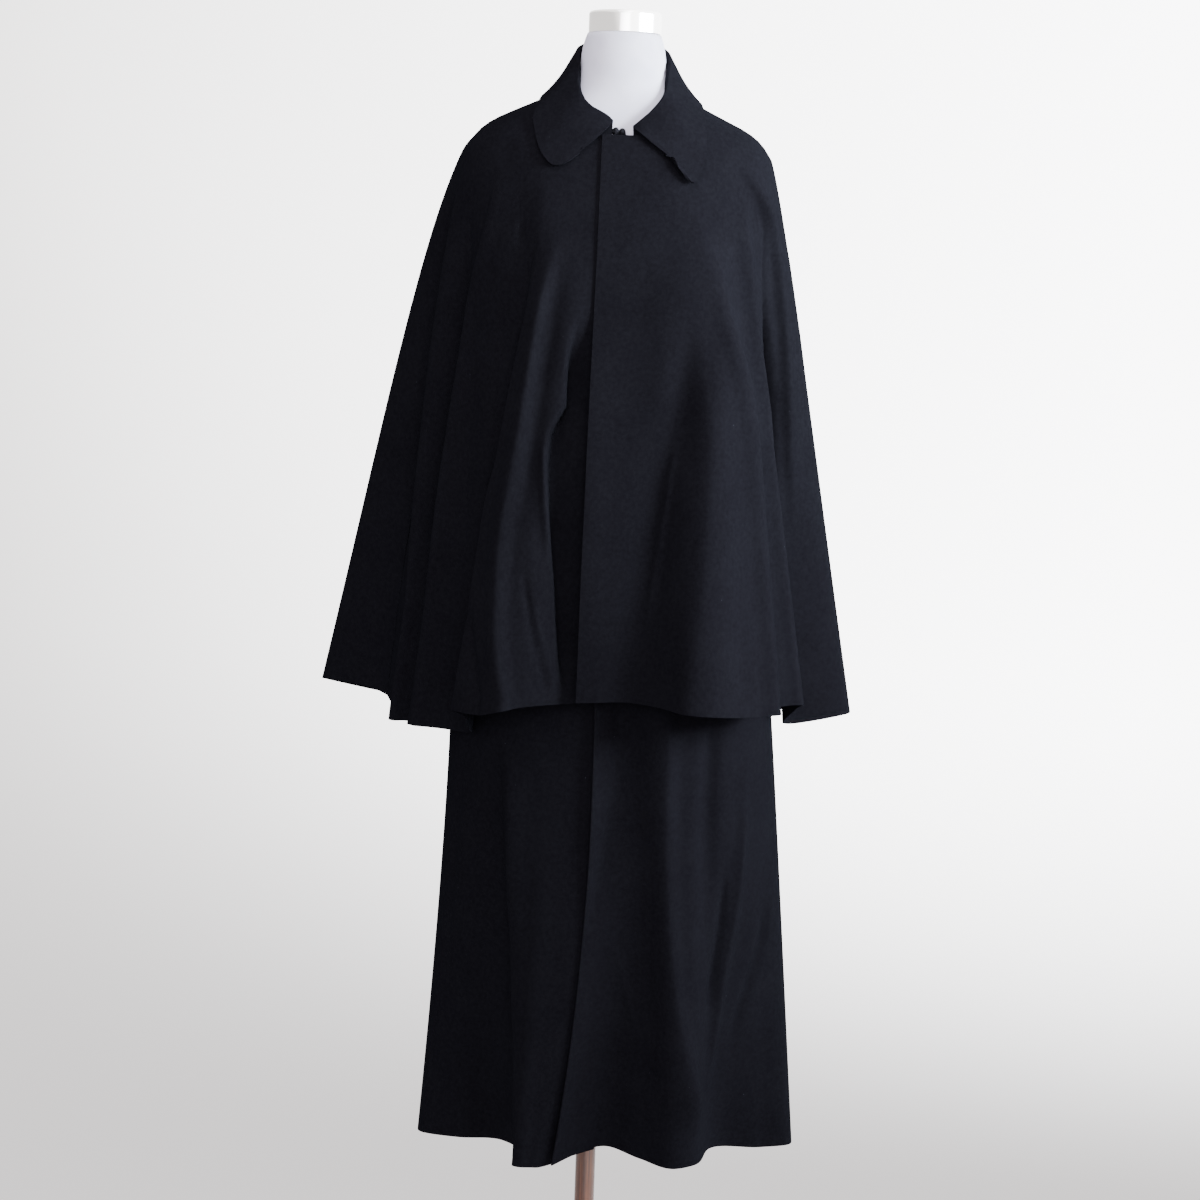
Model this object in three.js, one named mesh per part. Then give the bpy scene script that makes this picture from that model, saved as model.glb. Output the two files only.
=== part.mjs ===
// A wool cape coat worn by a dress form: a long sleeveless coat, a hip-length cape over it and a
// turned-down collar, held up by a padded form on a turned pole and a round foot.
// Millimetres, +Z up, the front faces -Y, and the origin is on the floor under the pole.
import * as THREE from "three";

// Cloth
const CLOTH = 2.0;
const COLLAR_CLOTH = 2.6;
const COLLAR_SEAM_OFF = 1.3; // how far the collar's foot stands off the neck
const SEAM_GAP = 0.3;
const COLLAR_GAP = 1.6; // between the collar's fall and the cape under it
const SHOULDER_GAP = 0.9;
const LAYER_GAP = 1.2;
const HANG_GAP = 5.5;
const COAT_AWAY = 3.7;
const CAPE_AWAY = 3.2;
const OVERLAP_STEP = CLOTH + LAYER_GAP;

// Heights of the coat
const SHOULDER_DROP = 5; // how much lower the shoulder at +X sits
const SHOULDER_NARROWING = 3;
const SHOULDER_Z = 1470;
const CHEST_Z = 1300;
const HIP_Z = 760;
const ARMHOLE_TOP_Z = 1427;
const ARMHOLE_FOOT_Z = 1235;
const ARMHOLE_REACH = 30; // degrees that the armhole is cut in from the side seam, each way

// The coat at the hip, where it hangs clear of the form
const HIP = { centreX: 12, halfWidth: 193, front: 118, back: 128, square: 2.2 };

// The stand and the form's own sizes
const CAP = { radius: 43, footZ: 1566.3, topZ: 1592, edge: 4, segments: 48 };
const POLE = { radius: 12, footZ: 24.3, topZ: 821.7, segments: 24 };
const FOOT = { radius: 170, footZ: 0, topZ: 24, edge: 7, segments: 48 };
const RIGHT_ANGLE = 90;
const FULL_TURN = 360;
const SEAM_ANGLES = [90, 180, 270]; // the side seams, and the cape's seam down its back
const COLUMN_STEP = 6; // degrees between the columns that every layer shares
const COLLAR_STEP = 8; // most degrees between the collar's profiles

// The cape's upper front edge hangs straight down at this place across.
const CAPE_EDGE_X = -24;
const CAPE_EDGE_DEPTH = 8; // how far the edge stands before the form
const FRONT_RIDGE_ANGLE = 24;

// The form's level sections. front and back are its depths before and behind the pole's axis.
const FORM_SECTIONS = [
  { z: 822, halfWidth: 132, front: 84, back: 92, square: 2.1 },
  { z: 830, halfWidth: 146, front: 95, back: 103, square: 2.1 },
  { z: 860, halfWidth: 157, front: 103, back: 111, square: 2.1 },
  { z: 920, halfWidth: 157, front: 103, back: 112, square: 2.1 },
  { z: 1000, halfWidth: 142, front: 95, back: 102, square: 2.1 },
  { z: 1100, halfWidth: 117, front: 85, back: 84, square: 2.1 },
  { z: 1200, halfWidth: 142, front: 107, back: 97, square: 2.2 },
  { z: 1250, halfWidth: 156, front: 117, back: 107, square: 2.3 },
  { z: 1300, halfWidth: 166, front: 116, back: 111, square: 2.4 },
  { z: 1360, halfWidth: 173, front: 101, back: 110, square: 2.4 },
  { z: 1400, halfWidth: 174, front: 88, back: 105, square: 2.4 },
  { z: 1430, halfWidth: 169, front: 75, back: 99, square: 2.3 },
  { z: 1445, halfWidth: 160, front: 69, back: 94, square: 2.2 },
  { z: 1456, halfWidth: 147, front: 65, back: 89, square: 2.15 },
  { z: 1467, halfWidth: 126, front: 61, back: 83, square: 2.1 },
  { z: 1480, halfWidth: 97, front: 58, back: 75, square: 2 },
  { z: 1492, halfWidth: 74, front: 56, back: 68, square: 2 },
  { z: 1505, halfWidth: 59, front: 54, back: 62, square: 2 },
  { z: 1520, halfWidth: 52.5, front: 52, back: 58, square: 2 },
  { z: 1540, halfWidth: 50.5, front: 50, back: 54, square: 2 },
  { z: 1556, halfWidth: 47.5, front: 47, back: 50, square: 2 },
  { z: 1566, halfWidth: 44, front: 44, back: 45, square: 2 },
];

// Where the neck seam runs, by the angle from the front.
const NECK_SEAM = [
  { angle: 0, z: 1438 },
  { angle: 20, z: 1440 },
  { angle: 40, z: 1459 },
  { angle: 65, z: 1483 },
  { angle: 90, z: 1494 },
  { angle: 135, z: 1502 },
  { angle: 180, z: 1505 },
];

// The cape's folds, from its upper front edge round the back to its under front edge. Each leaves the
// shoulders at its angle and its root's height. x, y and z are its place at the hem, and bulge bows
// it outwards.
const CAPE_FOLDS = [
  { name: "upper edge", angle: -12, root: 1290, x: -30, y: -155, z: 787, bulge: 4 },
  { name: "flat front", angle: 0, root: 1290, x: 18, y: -158, z: 789, bulge: 5 },
  { name: "front step", angle: 12, root: 1290, x: 62, y: -171, z: 787, bulge: 6 },
  { name: "front ridge", angle: 24, root: 1300, x: 108, y: -189, z: 781, bulge: 10 },
  { name: "front slope", angle: 36, root: 1320, x: 164, y: -166, z: 778, bulge: 16 },
  { name: "front fold", angle: 42, root: 1330, x: 197, y: -132, z: 777, bulge: 20 },
  { name: "front fold's back", angle: 48, root: 1330, x: 200, y: -106, z: 776, bulge: 14 },
  { name: "first hollow", angle: 54, root: 1345, x: 192, y: -80, z: 776, bulge: 8 },
  { name: "arm fold", angle: 66, root: 1425, x: 236, y: -32, z: 779, bulge: 2 },
  { name: "arm hollow", angle: 78, root: 1425, x: 222, y: 14, z: 750, bulge: 4 },
  { name: "side fold", angle: 90, root: 1428, x: 300, y: 48, z: 761, bulge: 6 },
  { name: "side fold's back", angle: 96, root: 1428, x: 304, y: 76, z: 761, bulge: 6 },
  { name: "side hollow", angle: 108, root: 1415, x: 246, y: 112, z: 752, bulge: 6 },
  { name: "blade fold", angle: 120, root: 1395, x: 222, y: 172, z: 750, bulge: 10 },
  { name: "blade hollow", angle: 138, root: 1370, x: 140, y: 158, z: 750, bulge: 4 },
  { name: "back fold", angle: 150, root: 1355, x: 104, y: 206, z: 750, bulge: 8 },
  { name: "back hollow", angle: 162, root: 1345, x: 55, y: 176, z: 750, bulge: 4 },
  { name: "centre fold", angle: 174, root: 1340, x: 14, y: 209, z: 750, bulge: 6 },
  { name: "centre hollow", angle: 186, root: 1340, x: -32, y: 176, z: 750, bulge: 4 },
  { name: "back fold", angle: 198, root: 1345, x: -80, y: 208, z: 750, bulge: 8 },
  { name: "back hollow", angle: 210, root: 1355, x: -124, y: 168, z: 750, bulge: 4 },
  { name: "blade fold", angle: 222, root: 1370, x: -182, y: 186, z: 750, bulge: 10 },
  { name: "blade hollow", angle: 234, root: 1400, x: -222, y: 134, z: 752, bulge: 8 },
  { name: "wide fold's back", angle: 246, root: 1436, x: -298, y: 130, z: 764, bulge: 26 },
  { name: "wide fold", angle: 252, root: 1440, x: -338, y: 112, z: 774, bulge: 30 },
  { name: "wide fold's front", angle: 258, root: 1440, x: -344, y: 88, z: 778, bulge: 30 },
  { name: "side hollow", angle: 270, root: 1432, x: -262, y: 50, z: 764, bulge: 14 },
  { name: "arm fold", angle: 276, root: 1432, x: -258, y: 12, z: 745, bulge: 11 },
  { name: "arm hollow", angle: 288, root: 1432, x: -238, y: -14, z: 741, bulge: 8 },
  { name: "slim fold", angle: 294, root: 1436, x: -238, y: -36, z: 741, bulge: 9 },
  { name: "deep hollow", angle: 300, root: 1420, x: -182, y: -52, z: 738, bulge: 8 },
  { name: "hollow's end", angle: 306, root: 1405, x: -154, y: -78, z: 738, bulge: 8 },
  { name: "hollow's front", angle: 312, root: 1390, x: -166, y: -102, z: 752, bulge: 10 },
  { name: "front fold", angle: 318, root: 1375, x: -178, y: -122, z: 768, bulge: 13 },
  { name: "front ridge", angle: 330, root: 1330, x: -141, y: -164, z: 770, bulge: 8 },
  { name: "inner ridge", angle: 342, root: 1300, x: -94, y: -168, z: 781, bulge: 8 },
  { name: "covered slope", angle: 354, root: 1290, x: -36, y: -137, z: 784, bulge: 3 },
  { name: "under edge", angle: 366, root: 1290, x: 18, y: -132, z: 786, bulge: 2 },
];

// The long coat's folds, in the same order. onset is the power by which a fold grows from the hip.
const COAT_FOLDS = [
  { name: "upper edge", angle: -9, x: -40, y: -103, z: 227, onset: 2.4 },
  { name: "edge slope", angle: 0, x: -10, y: -76, z: 236, onset: 2 },
  { name: "front hollow", angle: 12, x: 24, y: -56, z: 241, onset: 1.7 },
  { name: "front slope", angle: 24, x: 64, y: -78, z: 233, onset: 1.4 },
  { name: "front ridge", angle: 36, x: 106, y: -102, z: 228, onset: 1.3 },
  { name: "ridge's end", angle: 42, x: 130, y: -92, z: 231, onset: 1.5 },
  { name: "side hollow", angle: 54, x: 150, y: -18, z: 233, onset: 1.9 },
  { name: "wing", angle: 72, x: 212, y: 16, z: 228, onset: 1.3 },
  { name: "wing tip", angle: 84, x: 249, y: 28, z: 230, onset: 1 },
  { name: "side", angle: 96, x: 247, y: 60, z: 232, onset: 1 },
  { name: "side back", angle: 108, x: 214, y: 98, z: 230, onset: 1.2 },
  { name: "back fold", angle: 126, x: 160, y: 140, z: 228, onset: 1.2 },
  { name: "back hollow", angle: 144, x: 92, y: 120, z: 228, onset: 1.4 },
  { name: "back fold", angle: 162, x: 45, y: 142, z: 228, onset: 1.2 },
  { name: "centre hollow", angle: 180, x: 5, y: 122, z: 228, onset: 1.4 },
  { name: "back fold", angle: 198, x: -42, y: 142, z: 228, onset: 1.2 },
  { name: "back hollow", angle: 216, x: -88, y: 120, z: 228, onset: 1.4 },
  { name: "back fold", angle: 234, x: -145, y: 136, z: 228, onset: 1.2 },
  { name: "side back", angle: 252, x: -186, y: 98, z: 230, onset: 1.3 },
  { name: "side", angle: 264, x: -205, y: 58, z: 231, onset: 1.4 },
  { name: "wing tip", angle: 276, x: -202, y: 26, z: 230, onset: 1.6 },
  { name: "wing", angle: 288, x: -156, y: 14, z: 228, onset: 2 },
  { name: "side hollow", angle: 300, x: -104, y: 12, z: 227, onset: 2.2 },
  { name: "fold's back", angle: 306, x: -84, y: -20, z: 227, onset: 2.2 },
  { name: "front fold", angle: 318, x: -93, y: -72, z: 226, onset: 2 },
  { name: "fold's front", angle: 324, x: -87, y: -94, z: 225, onset: 1.8 },
  { name: "front", angle: 336, x: -64, y: -101, z: 224, onset: 1.8 },
  { name: "covered edge", angle: 348, x: -46, y: -95, z: 225, onset: 2.4 },
  { name: "covered slope", angle: 360, x: -14, y: -69, z: 232, onset: 2 },
  { name: "under edge", angle: 369, x: 10, y: -52, z: 236, onset: 1.8 },
];

// The collar, from its end on the upper front round the neck to its end on the under front. The fold
// line lies at foldAngle and foldZ, standing off the neck by standOff. The outer edge lies on the
// cape at edgeAngle and edgeZ, raised by lift. bridge is 1 where the fall spans the neck's hollow,
// and onFront is 1 where the collar's foot stands on the cape's front and not on the coat's neck.
const COLLAR_ROWS = [
  { foldAngle: 11, foldZ: 1451, standOff: 9.5, edgeAngle: 30, edgeZ: 1418, lift: 2, bridge: 0, onFront: 1 },
  { foldAngle: 15, foldZ: 1455, standOff: 9.5, edgeAngle: 35, edgeZ: 1409, lift: 3, bridge: 0, onFront: 1 },
  { foldAngle: 20, foldZ: 1460, standOff: 9, edgeAngle: 39, edgeZ: 1397, lift: 5, bridge: 0, onFront: 1 },
  { foldAngle: 26, foldZ: 1467, standOff: 8, edgeAngle: 42.5, edgeZ: 1385, lift: 5, bridge: 0, onFront: 0.9 },
  { foldAngle: 33, foldZ: 1476, standOff: 7, edgeAngle: 47, edgeZ: 1394, lift: 4, bridge: 0.1, onFront: 0.7 },
  { foldAngle: 43, foldZ: 1489, standOff: 5.5, edgeAngle: 54.5, edgeZ: 1421, lift: 2, bridge: 0.4, onFront: 0.4 },
  { foldAngle: 56, foldZ: 1508, standOff: 3.5, edgeAngle: 61.5, edgeZ: 1451, lift: 0, bridge: 0.7, onFront: 0.1 },
  { foldAngle: 70, foldZ: 1525, standOff: 2.2, edgeAngle: 69, edgeZ: 1471, lift: 0, bridge: 0.8, onFront: 0 },
  { foldAngle: 88, foldZ: 1541, standOff: 1.5, edgeAngle: 86, edgeZ: 1484, lift: 0, bridge: 0.8, onFront: 0 },
  { foldAngle: 108, foldZ: 1550, standOff: 1.5, edgeAngle: 106, edgeZ: 1485, lift: 0, bridge: 0.8, onFront: 0 },
  { foldAngle: 135, foldZ: 1557, standOff: 1.5, edgeAngle: 134, edgeZ: 1482, lift: 0, bridge: 0.9, onFront: 0 },
  { foldAngle: 180, foldZ: 1560, standOff: 1.5, edgeAngle: 180, edgeZ: 1476, lift: 0, bridge: 0.9, onFront: 0 },
  { foldAngle: 225, foldZ: 1557, standOff: 1.5, edgeAngle: 226, edgeZ: 1482, lift: 0, bridge: 0.9, onFront: 0 },
  { foldAngle: 252, foldZ: 1552, standOff: 1.5, edgeAngle: 254, edgeZ: 1485, lift: 0, bridge: 0.8, onFront: 0 },
  { foldAngle: 272, foldZ: 1545, standOff: 1.5, edgeAngle: 274, edgeZ: 1484, lift: 0, bridge: 0.8, onFront: 0 },
  { foldAngle: 290, foldZ: 1527, standOff: 2.2, edgeAngle: 290, edgeZ: 1471, lift: 0, bridge: 0.8, onFront: 0 },
  { foldAngle: 303, foldZ: 1508, standOff: 3, edgeAngle: 298, edgeZ: 1451, lift: 0, bridge: 0.7, onFront: 0.1 },
  { foldAngle: 315, foldZ: 1491, standOff: 4, edgeAngle: 305.5, edgeZ: 1427, lift: 1, bridge: 0.4, onFront: 0.4 },
  { foldAngle: 324, foldZ: 1479, standOff: 5, edgeAngle: 311.5, edgeZ: 1410, lift: 2, bridge: 0.1, onFront: 0.6 },
  { foldAngle: 331, foldZ: 1473, standOff: 6, edgeAngle: 317, edgeZ: 1400, lift: 2, bridge: 0, onFront: 0.8 },
  { foldAngle: 338, foldZ: 1469, standOff: 6, edgeAngle: 321.5, edgeZ: 1399, lift: 2, bridge: 0, onFront: 1 },
  { foldAngle: 345, foldZ: 1464, standOff: 6, edgeAngle: 326.5, edgeZ: 1405, lift: 1, bridge: 0, onFront: 1 },
  { foldAngle: 351, foldZ: 1458, standOff: 6, edgeAngle: 332, edgeZ: 1417, lift: 1, bridge: 0, onFront: 1 },
];

// The wire hook at the neck, sewn to the upper front's top edge: its path's points from left to right.
const HOOK = { wire: 0.8, sides: 8, steps: 36 };
const HOOK_PATH = [
  { x: -7.5, y: -75.8, z: 1441.4 },
  { x: -5, y: -75.8, z: 1444.7 },
  { x: 1, y: -75.8, z: 1445.4 },
  { x: 6, y: -76, z: 1446.8 },
  { x: 8.6, y: -76.2, z: 1444.4 },
  { x: 6, y: -76.2, z: 1441.6 },
  { x: 1, y: -76, z: 1441.3 },
];

// Where each layer has its cross lines: shares of the way from the neck seam to the chest, heights
// below it, and shares of the way to the hem.
const YOKE_SHARES = [0, 0.1, 0.2, 0.28, 0.36, 0.46, 0.6, 0.78, 1];
const COAT_BODY_HEIGHTS = [1275, 1252, ARMHOLE_FOOT_Z, 1110, 930, HIP_Z];
const COAT_SKIRT_SHARES = [0.2, 0.4, 0.6, 0.8, 1];
const CAPE_HANG_SHARES = [0.17, 0.34, 0.51, 0.68, 0.84, 1];
const FORM_NECK_SHARES = [1, 0.8, 0.6, 0.4, 0.2];
const FORM_BODY_HEIGHTS = [1250, 1180, 1100, 1010, 920, 860, 833, 822];

const radians = THREE.MathUtils.degToRad;
const lerp = THREE.MathUtils.lerp;
const smoothstep = THREE.MathUtils.smoothstep;

/** Distance in degrees from the front, whichever way round. */
function fromFront(angle) {
  const wrapped = ((angle % FULL_TURN) + FULL_TURN) % FULL_TURN;
  return Math.min(wrapped, FULL_TURN - wrapped);
}

/** A smooth curve through a table's rows: give it a value of the key column, get every column. */
function tableCurve(rows, key) {
  const columns = Object.keys(rows[0]).filter((column) => typeof rows[0][column] === "number");
  const secant = (i, column) =>
    (rows[i + 1][column] - rows[i][column]) / (rows[i + 1][key] - rows[i][key]);
  const slope = (i, column) => {
    if (i === 0) return secant(0, column);
    if (i === rows.length - 1) return secant(i - 1, column);
    const before = rows[i][key] - rows[i - 1][key];
    const after = rows[i + 1][key] - rows[i][key];
    return (secant(i - 1, column) * after + secant(i, column) * before) / (before + after);
  };
  return (at) => {
    let i = 0;
    while (i < rows.length - 2 && at > rows[i + 1][key]) i++;
    const width = rows[i + 1][key] - rows[i][key];
    const s = Math.min(Math.max((at - rows[i][key]) / width, 0), 1);
    const result = {};
    for (const column of columns) {
      const rise = 3 * s * s - 2 * s * s * s;
      const leaving = s * s * s - 2 * s * s + s;
      const arriving = s * s * s - s * s;
      result[column] =
        lerp(rows[i][column], rows[i + 1][column], rise) +
        width * (leaving * slope(i, column) + arriving * slope(i + 1, column));
    }
    return result;
  };
}

const formSection = tableCurve(FORM_SECTIONS, "z");
const neckSeam = tableCurve(NECK_SEAM, "angle");
const capeFold = tableCurve(CAPE_FOLDS, "angle");
const coatFold = tableCurve(COAT_FOLDS, "angle");
const neckHeight = (angle) => neckSeam(fromFront(angle)).z;

/** A point of a rounded level section, by the angle from the front towards +X. */
function ovalPoint(section, angle, z) {
  const across = Math.sin(radians(angle));
  const along = Math.cos(radians(angle));
  const depth = along > 0 ? section.front : section.back;
  const power = section.square;
  const reach =
    (Math.abs(across / section.halfWidth) ** power + Math.abs(along / depth) ** power) **
    (-1 / power);
  return new THREE.Vector3((section.centreX ?? 0) + reach * across, -reach * along, z);
}

/** A point of the form's surface. The shoulder at +X sits a little lower and nearer the neck. */
function formPoint(angle, z) {
  const point = ovalPoint(formSection(z), angle, z);
  const onShoulder = smoothstep(point.x, 0, 140) * smoothstep(z, 1330, 1430);
  point.z -= SHOULDER_DROP * onShoulder;
  point.x -= SHOULDER_NARROWING * onShoulder;
  return point;
}

/** The direction straight out of a surface, given as a function of the angle and the height. */
function outwards(surface, angle, z) {
  const step = 0.5;
  const round = surface(angle + step, z).sub(surface(angle - step, z));
  const rise = surface(angle, z + step).sub(surface(angle, z - step));
  return round.cross(rise).normalize();
}

/** A point that lies off the form's surface by offset, where the form has this angle and height. */
function draped(angle, z, offset) {
  return formPoint(angle, z).addScaledVector(outwards(formPoint, angle, z), offset);
}

/** 1 where two fronts lie on each other by the middle, falling to 0 towards the sides. */
const middleShare = (angle) => 1 - smoothstep(angle, 30, 60);

/** How far a layer hangs away from the one under it. It rests on the tops of the shoulders alone. */
const hangShare = (z) => 1 - smoothstep(z, SHOULDER_Z - 65, SHOULDER_Z);

/** How far the coat's outer side stands off the form. */
function coatOffset(angle, z) {
  return SHOULDER_GAP + CLOTH + COAT_AWAY * hangShare(z) + OVERLAP_STEP * middleShare(angle);
}

/** How far the cape's outer side stands off the form. */
function capeOffset(angle, z) {
  const coatBelow = coatOffset(FULL_TURN, z) + OVERLAP_STEP * middleShare(fromFront(angle));
  const gap = LAYER_GAP + CAPE_AWAY * hangShare(z);
  return coatBelow + gap + CLOTH + OVERLAP_STEP * middleShare(angle);
}

/** The coat's outer side at a column's angle and a height. */
function coatPoint(angle, z) {
  if (z >= CHEST_Z) return draped(angle, z, coatOffset(angle, z));
  const chest = draped(angle, CHEST_Z, coatOffset(angle, CHEST_Z));
  const hip = ovalPoint(HIP, angle, HIP_Z);
  const outward = new THREE.Vector3(hip.x - HIP.centreX, hip.y, 0).normalize();
  hip.addScaledVector(outward, OVERLAP_STEP * middleShare(angle));
  if (z >= HIP_Z) {
    const share = ((CHEST_Z - z) / (CHEST_Z - HIP_Z)) ** 1.6;
    return new THREE.Vector3(lerp(chest.x, hip.x, share), lerp(chest.y, hip.y, share), z);
  }
  const hem = coatFold(angle);
  const share = ((HIP_Z - z) / (HIP_Z - hem.z)) ** hem.onset;
  return new THREE.Vector3(lerp(hip.x, hem.x, share), lerp(hip.y, hem.y, share), z);
}

/** The cape's outer side at a column's angle and a height. */
function capePoint(angle, z) {
  const fold = capeFold(angle);
  if (z >= fold.root) return draped(angle, z, capeOffset(angle, z));
  const root = draped(angle, fold.root, capeOffset(angle, fold.root));
  const share = (fold.root - z) / (fold.root - fold.z);
  const point = root.lerp(new THREE.Vector3(fold.x, fold.y, fold.z), share);
  const outward = new THREE.Vector3(point.x, point.y, 0).normalize();
  point.addScaledVector(outward, fold.bulge * Math.sin(Math.PI * share ** 0.45));
  return clearOfCoat(point, fold.root - z);
}

/** The height to ask coatPoint for, so that its point comes to lie at a true height. */
function coatHeightFor(bearing, z) {
  let from = z;
  for (let pass = 0; pass < 5; pass++) from += z - coatPoint(bearing, from).z;
  return from;
}

/** Pushes a point of the cape, this far below its root, to where it hangs clear of the coat. */
function clearOfCoat(point, drop) {
  const radius = Math.hypot(point.x, point.y);
  const turn = THREE.MathUtils.radToDeg(Math.atan2(point.x, -point.y));
  const bearing = turn < 0 ? turn + FULL_TURN : turn;
  const underLap = turn < 0 ? OVERLAP_STEP * middleShare(-turn) : 0;
  const from = coatHeightFor(bearing, point.z);
  const coat = coatPoint(bearing, from);
  const rise = outwards(coatPoint, bearing, from).z;
  const gap = CLOTH + lerp(LAYER_GAP + CAPE_AWAY * hangShare(from), HANG_GAP, smoothstep(drop, 0, 50));
  const least = Math.hypot(coat.x, coat.y) + underLap + gap / Math.sqrt(1 - rise * rise);
  const share = Math.max(radius, least) / radius;
  return new THREE.Vector3(point.x * share, point.y * share, point.z);
}

/** The heights of a layer's cross lines at one column, from the neck seam down. */
function coatHeights(angle) {
  const yoke = YOKE_SHARES.map((share) => lerp(neckHeight(angle), CHEST_Z, share));
  const skirt = COAT_SKIRT_SHARES.map((share) => lerp(HIP_Z, coatFold(angle).z, share));
  return [...yoke, ...COAT_BODY_HEIGHTS, ...skirt];
}

function capeHeights(angle) {
  const yoke = YOKE_SHARES.map((share) => lerp(neckHeight(angle), CHEST_Z, share));
  const hang = CAPE_HANG_SHARES.map((share) => lerp(CHEST_Z, capeFold(angle).z, share));
  return [...yoke, ...hang];
}

/** The columns' angles from one edge to another: the edges and every shared column between them. */
function columnAngles(from, to) {
  const angles = [from];
  for (let angle = Math.floor(from / COLUMN_STEP + 1) * COLUMN_STEP; angle < to; angle += COLUMN_STEP)
    angles.push(angle);
  return [...angles, to];
}

/** How far the armhole cuts in from the side seam at a height, in degrees. */
function armholeCut(z) {
  const share = (ARMHOLE_TOP_Z - z) / (ARMHOLE_TOP_Z - ARMHOLE_FOOT_Z);
  return share > 0 && share < 1 ? ARMHOLE_REACH * Math.sin(Math.PI * share) ** 0.7 : 0;
}

/** Shifts a column away from the side seams where the armholes are. */
function clearOfArmholes(angle, z) {
  const cut = armholeCut(z);
  let shifted = angle;
  for (const seam of [RIGHT_ANGLE, 3 * RIGHT_ANGLE]) {
    const distance = angle - seam;
    const nearness = Math.max(0, 1 - Math.abs(distance) / 60);
    shifted += (distance < 0 ? -1 : 1) * cut * nearness;
  }
  return shifted;
}

/** The faces of a grid with its rows one after another, turned outwards. */
function gridFaces(lines, columns) {
  const faces = [];
  for (let j = 0; j < lines - 1; j++)
    for (let i = 0; i < columns - 1; i++) {
      const a = j * columns + i;
      const [b, c, d] = [a + 1, a + columns + 1, a + columns];
      faces.push(a, d, c, a, c, b);
    }
  return faces;
}

/** A closed wall between the outer points rows[j][i] and the same points moved inwards. */
function clothWall(rows, normals, thickness) {
  const lines = rows.length;
  const columns = rows[0].length;
  const outerPoints = rows.flat();
  const innerPoints = normals.flat().map((n, i) => n.clone().multiplyScalar(-thickness).add(outerPoints[i]));
  const faces = gridFaces(lines, columns);
  const inner = outerPoints.length;
  const all = [...faces];
  for (let i = 0; i < faces.length; i += 3)
    all.push(faces[i] + inner, faces[i + 2] + inner, faces[i + 1] + inner);
  const last = (lines - 1) * columns;
  const border = [];
  for (let i = 0; i < columns - 1; i++) border.push([i + 1, i], [last + i, last + i + 1]);
  for (let j = 0; j < lines - 1; j++) {
    border.push([j * columns, (j + 1) * columns]);
    border.push([(j + 2) * columns - 1, (j + 1) * columns - 1]);
  }
  for (const [a, b] of border) all.push(b, a, a + inner, b, a + inner, b + inner);
  return meshOf([...outerPoints, ...innerPoints], all);
}

function meshOf(points, faces) {
  const geometry = new THREE.BufferGeometry();
  geometry.setAttribute("position", new THREE.Float32BufferAttribute(points.flatMap((p) => p.toArray()), 3));
  geometry.setIndex(faces);
  return geometry;
}

/** Cuts one piece out of a hanging layer, from one seam's or edge's angle to another's. */
function panel(layer, from, to) {
  const angles = columnAngles(from, to);
  const rows = [];
  const normals = [];
  for (let line = 0; line < layer.heights(from).length; line++) {
    const row = angles.map((angle, i) => {
      const side = i === 0 ? 1 : i === angles.length - 1 ? -1 : 0;
      const z = layer.heights(angle)[line];
      const place = layer.shift(angle, z, side);
      const normal = outwards(layer.point, place, z);
      const point = layer.point(place, z);
      if (SEAM_ANGLES.includes(angle) && side !== 0) {
        const along = layer.point(place + side, z).sub(point).normalize();
        point.addScaledVector(along, SEAM_GAP / 2);
      }
      return { point, normal };
    });
    rows.push(row.map((corner) => corner.point));
    normals.push(row.map((corner) => corner.normal));
  }
  return clothWall(rows, normals, CLOTH);
}

/** Armholes: the side seam's own column goes the way that its piece lies. */
function coatShift(angle, z, side) {
  const atSeam = fromFront(angle) === RIGHT_ANGLE;
  return atSeam ? angle + side * armholeCut(z) : clearOfArmholes(angle, z);
}

/** Turns the columns beside the cape's upper front edge so that the edge hangs straight down. */
function capeShift(angle, z) {
  const edge = CAPE_FOLDS[0];
  const nearness = Math.max(0, (FRONT_RIDGE_ANGLE - angle) / (FRONT_RIDGE_ANGLE - edge.angle));
  const depth = formSection(Math.max(z, CHEST_Z)).front + CAPE_EDGE_DEPTH;
  const straight = THREE.MathUtils.radToDeg(Math.atan2(CAPE_EDGE_X, depth));
  return angle + Math.min(nearness, 1) * (straight - edge.angle) * (z > CHEST_Z ? 1 : smoothstep(z, HIP_Z, CHEST_Z));
}

const coatLayer = { point: coatPoint, heights: coatHeights, shift: coatShift };
const capeLayer = { point: capePoint, heights: capeHeights, shift: capeShift };

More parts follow.
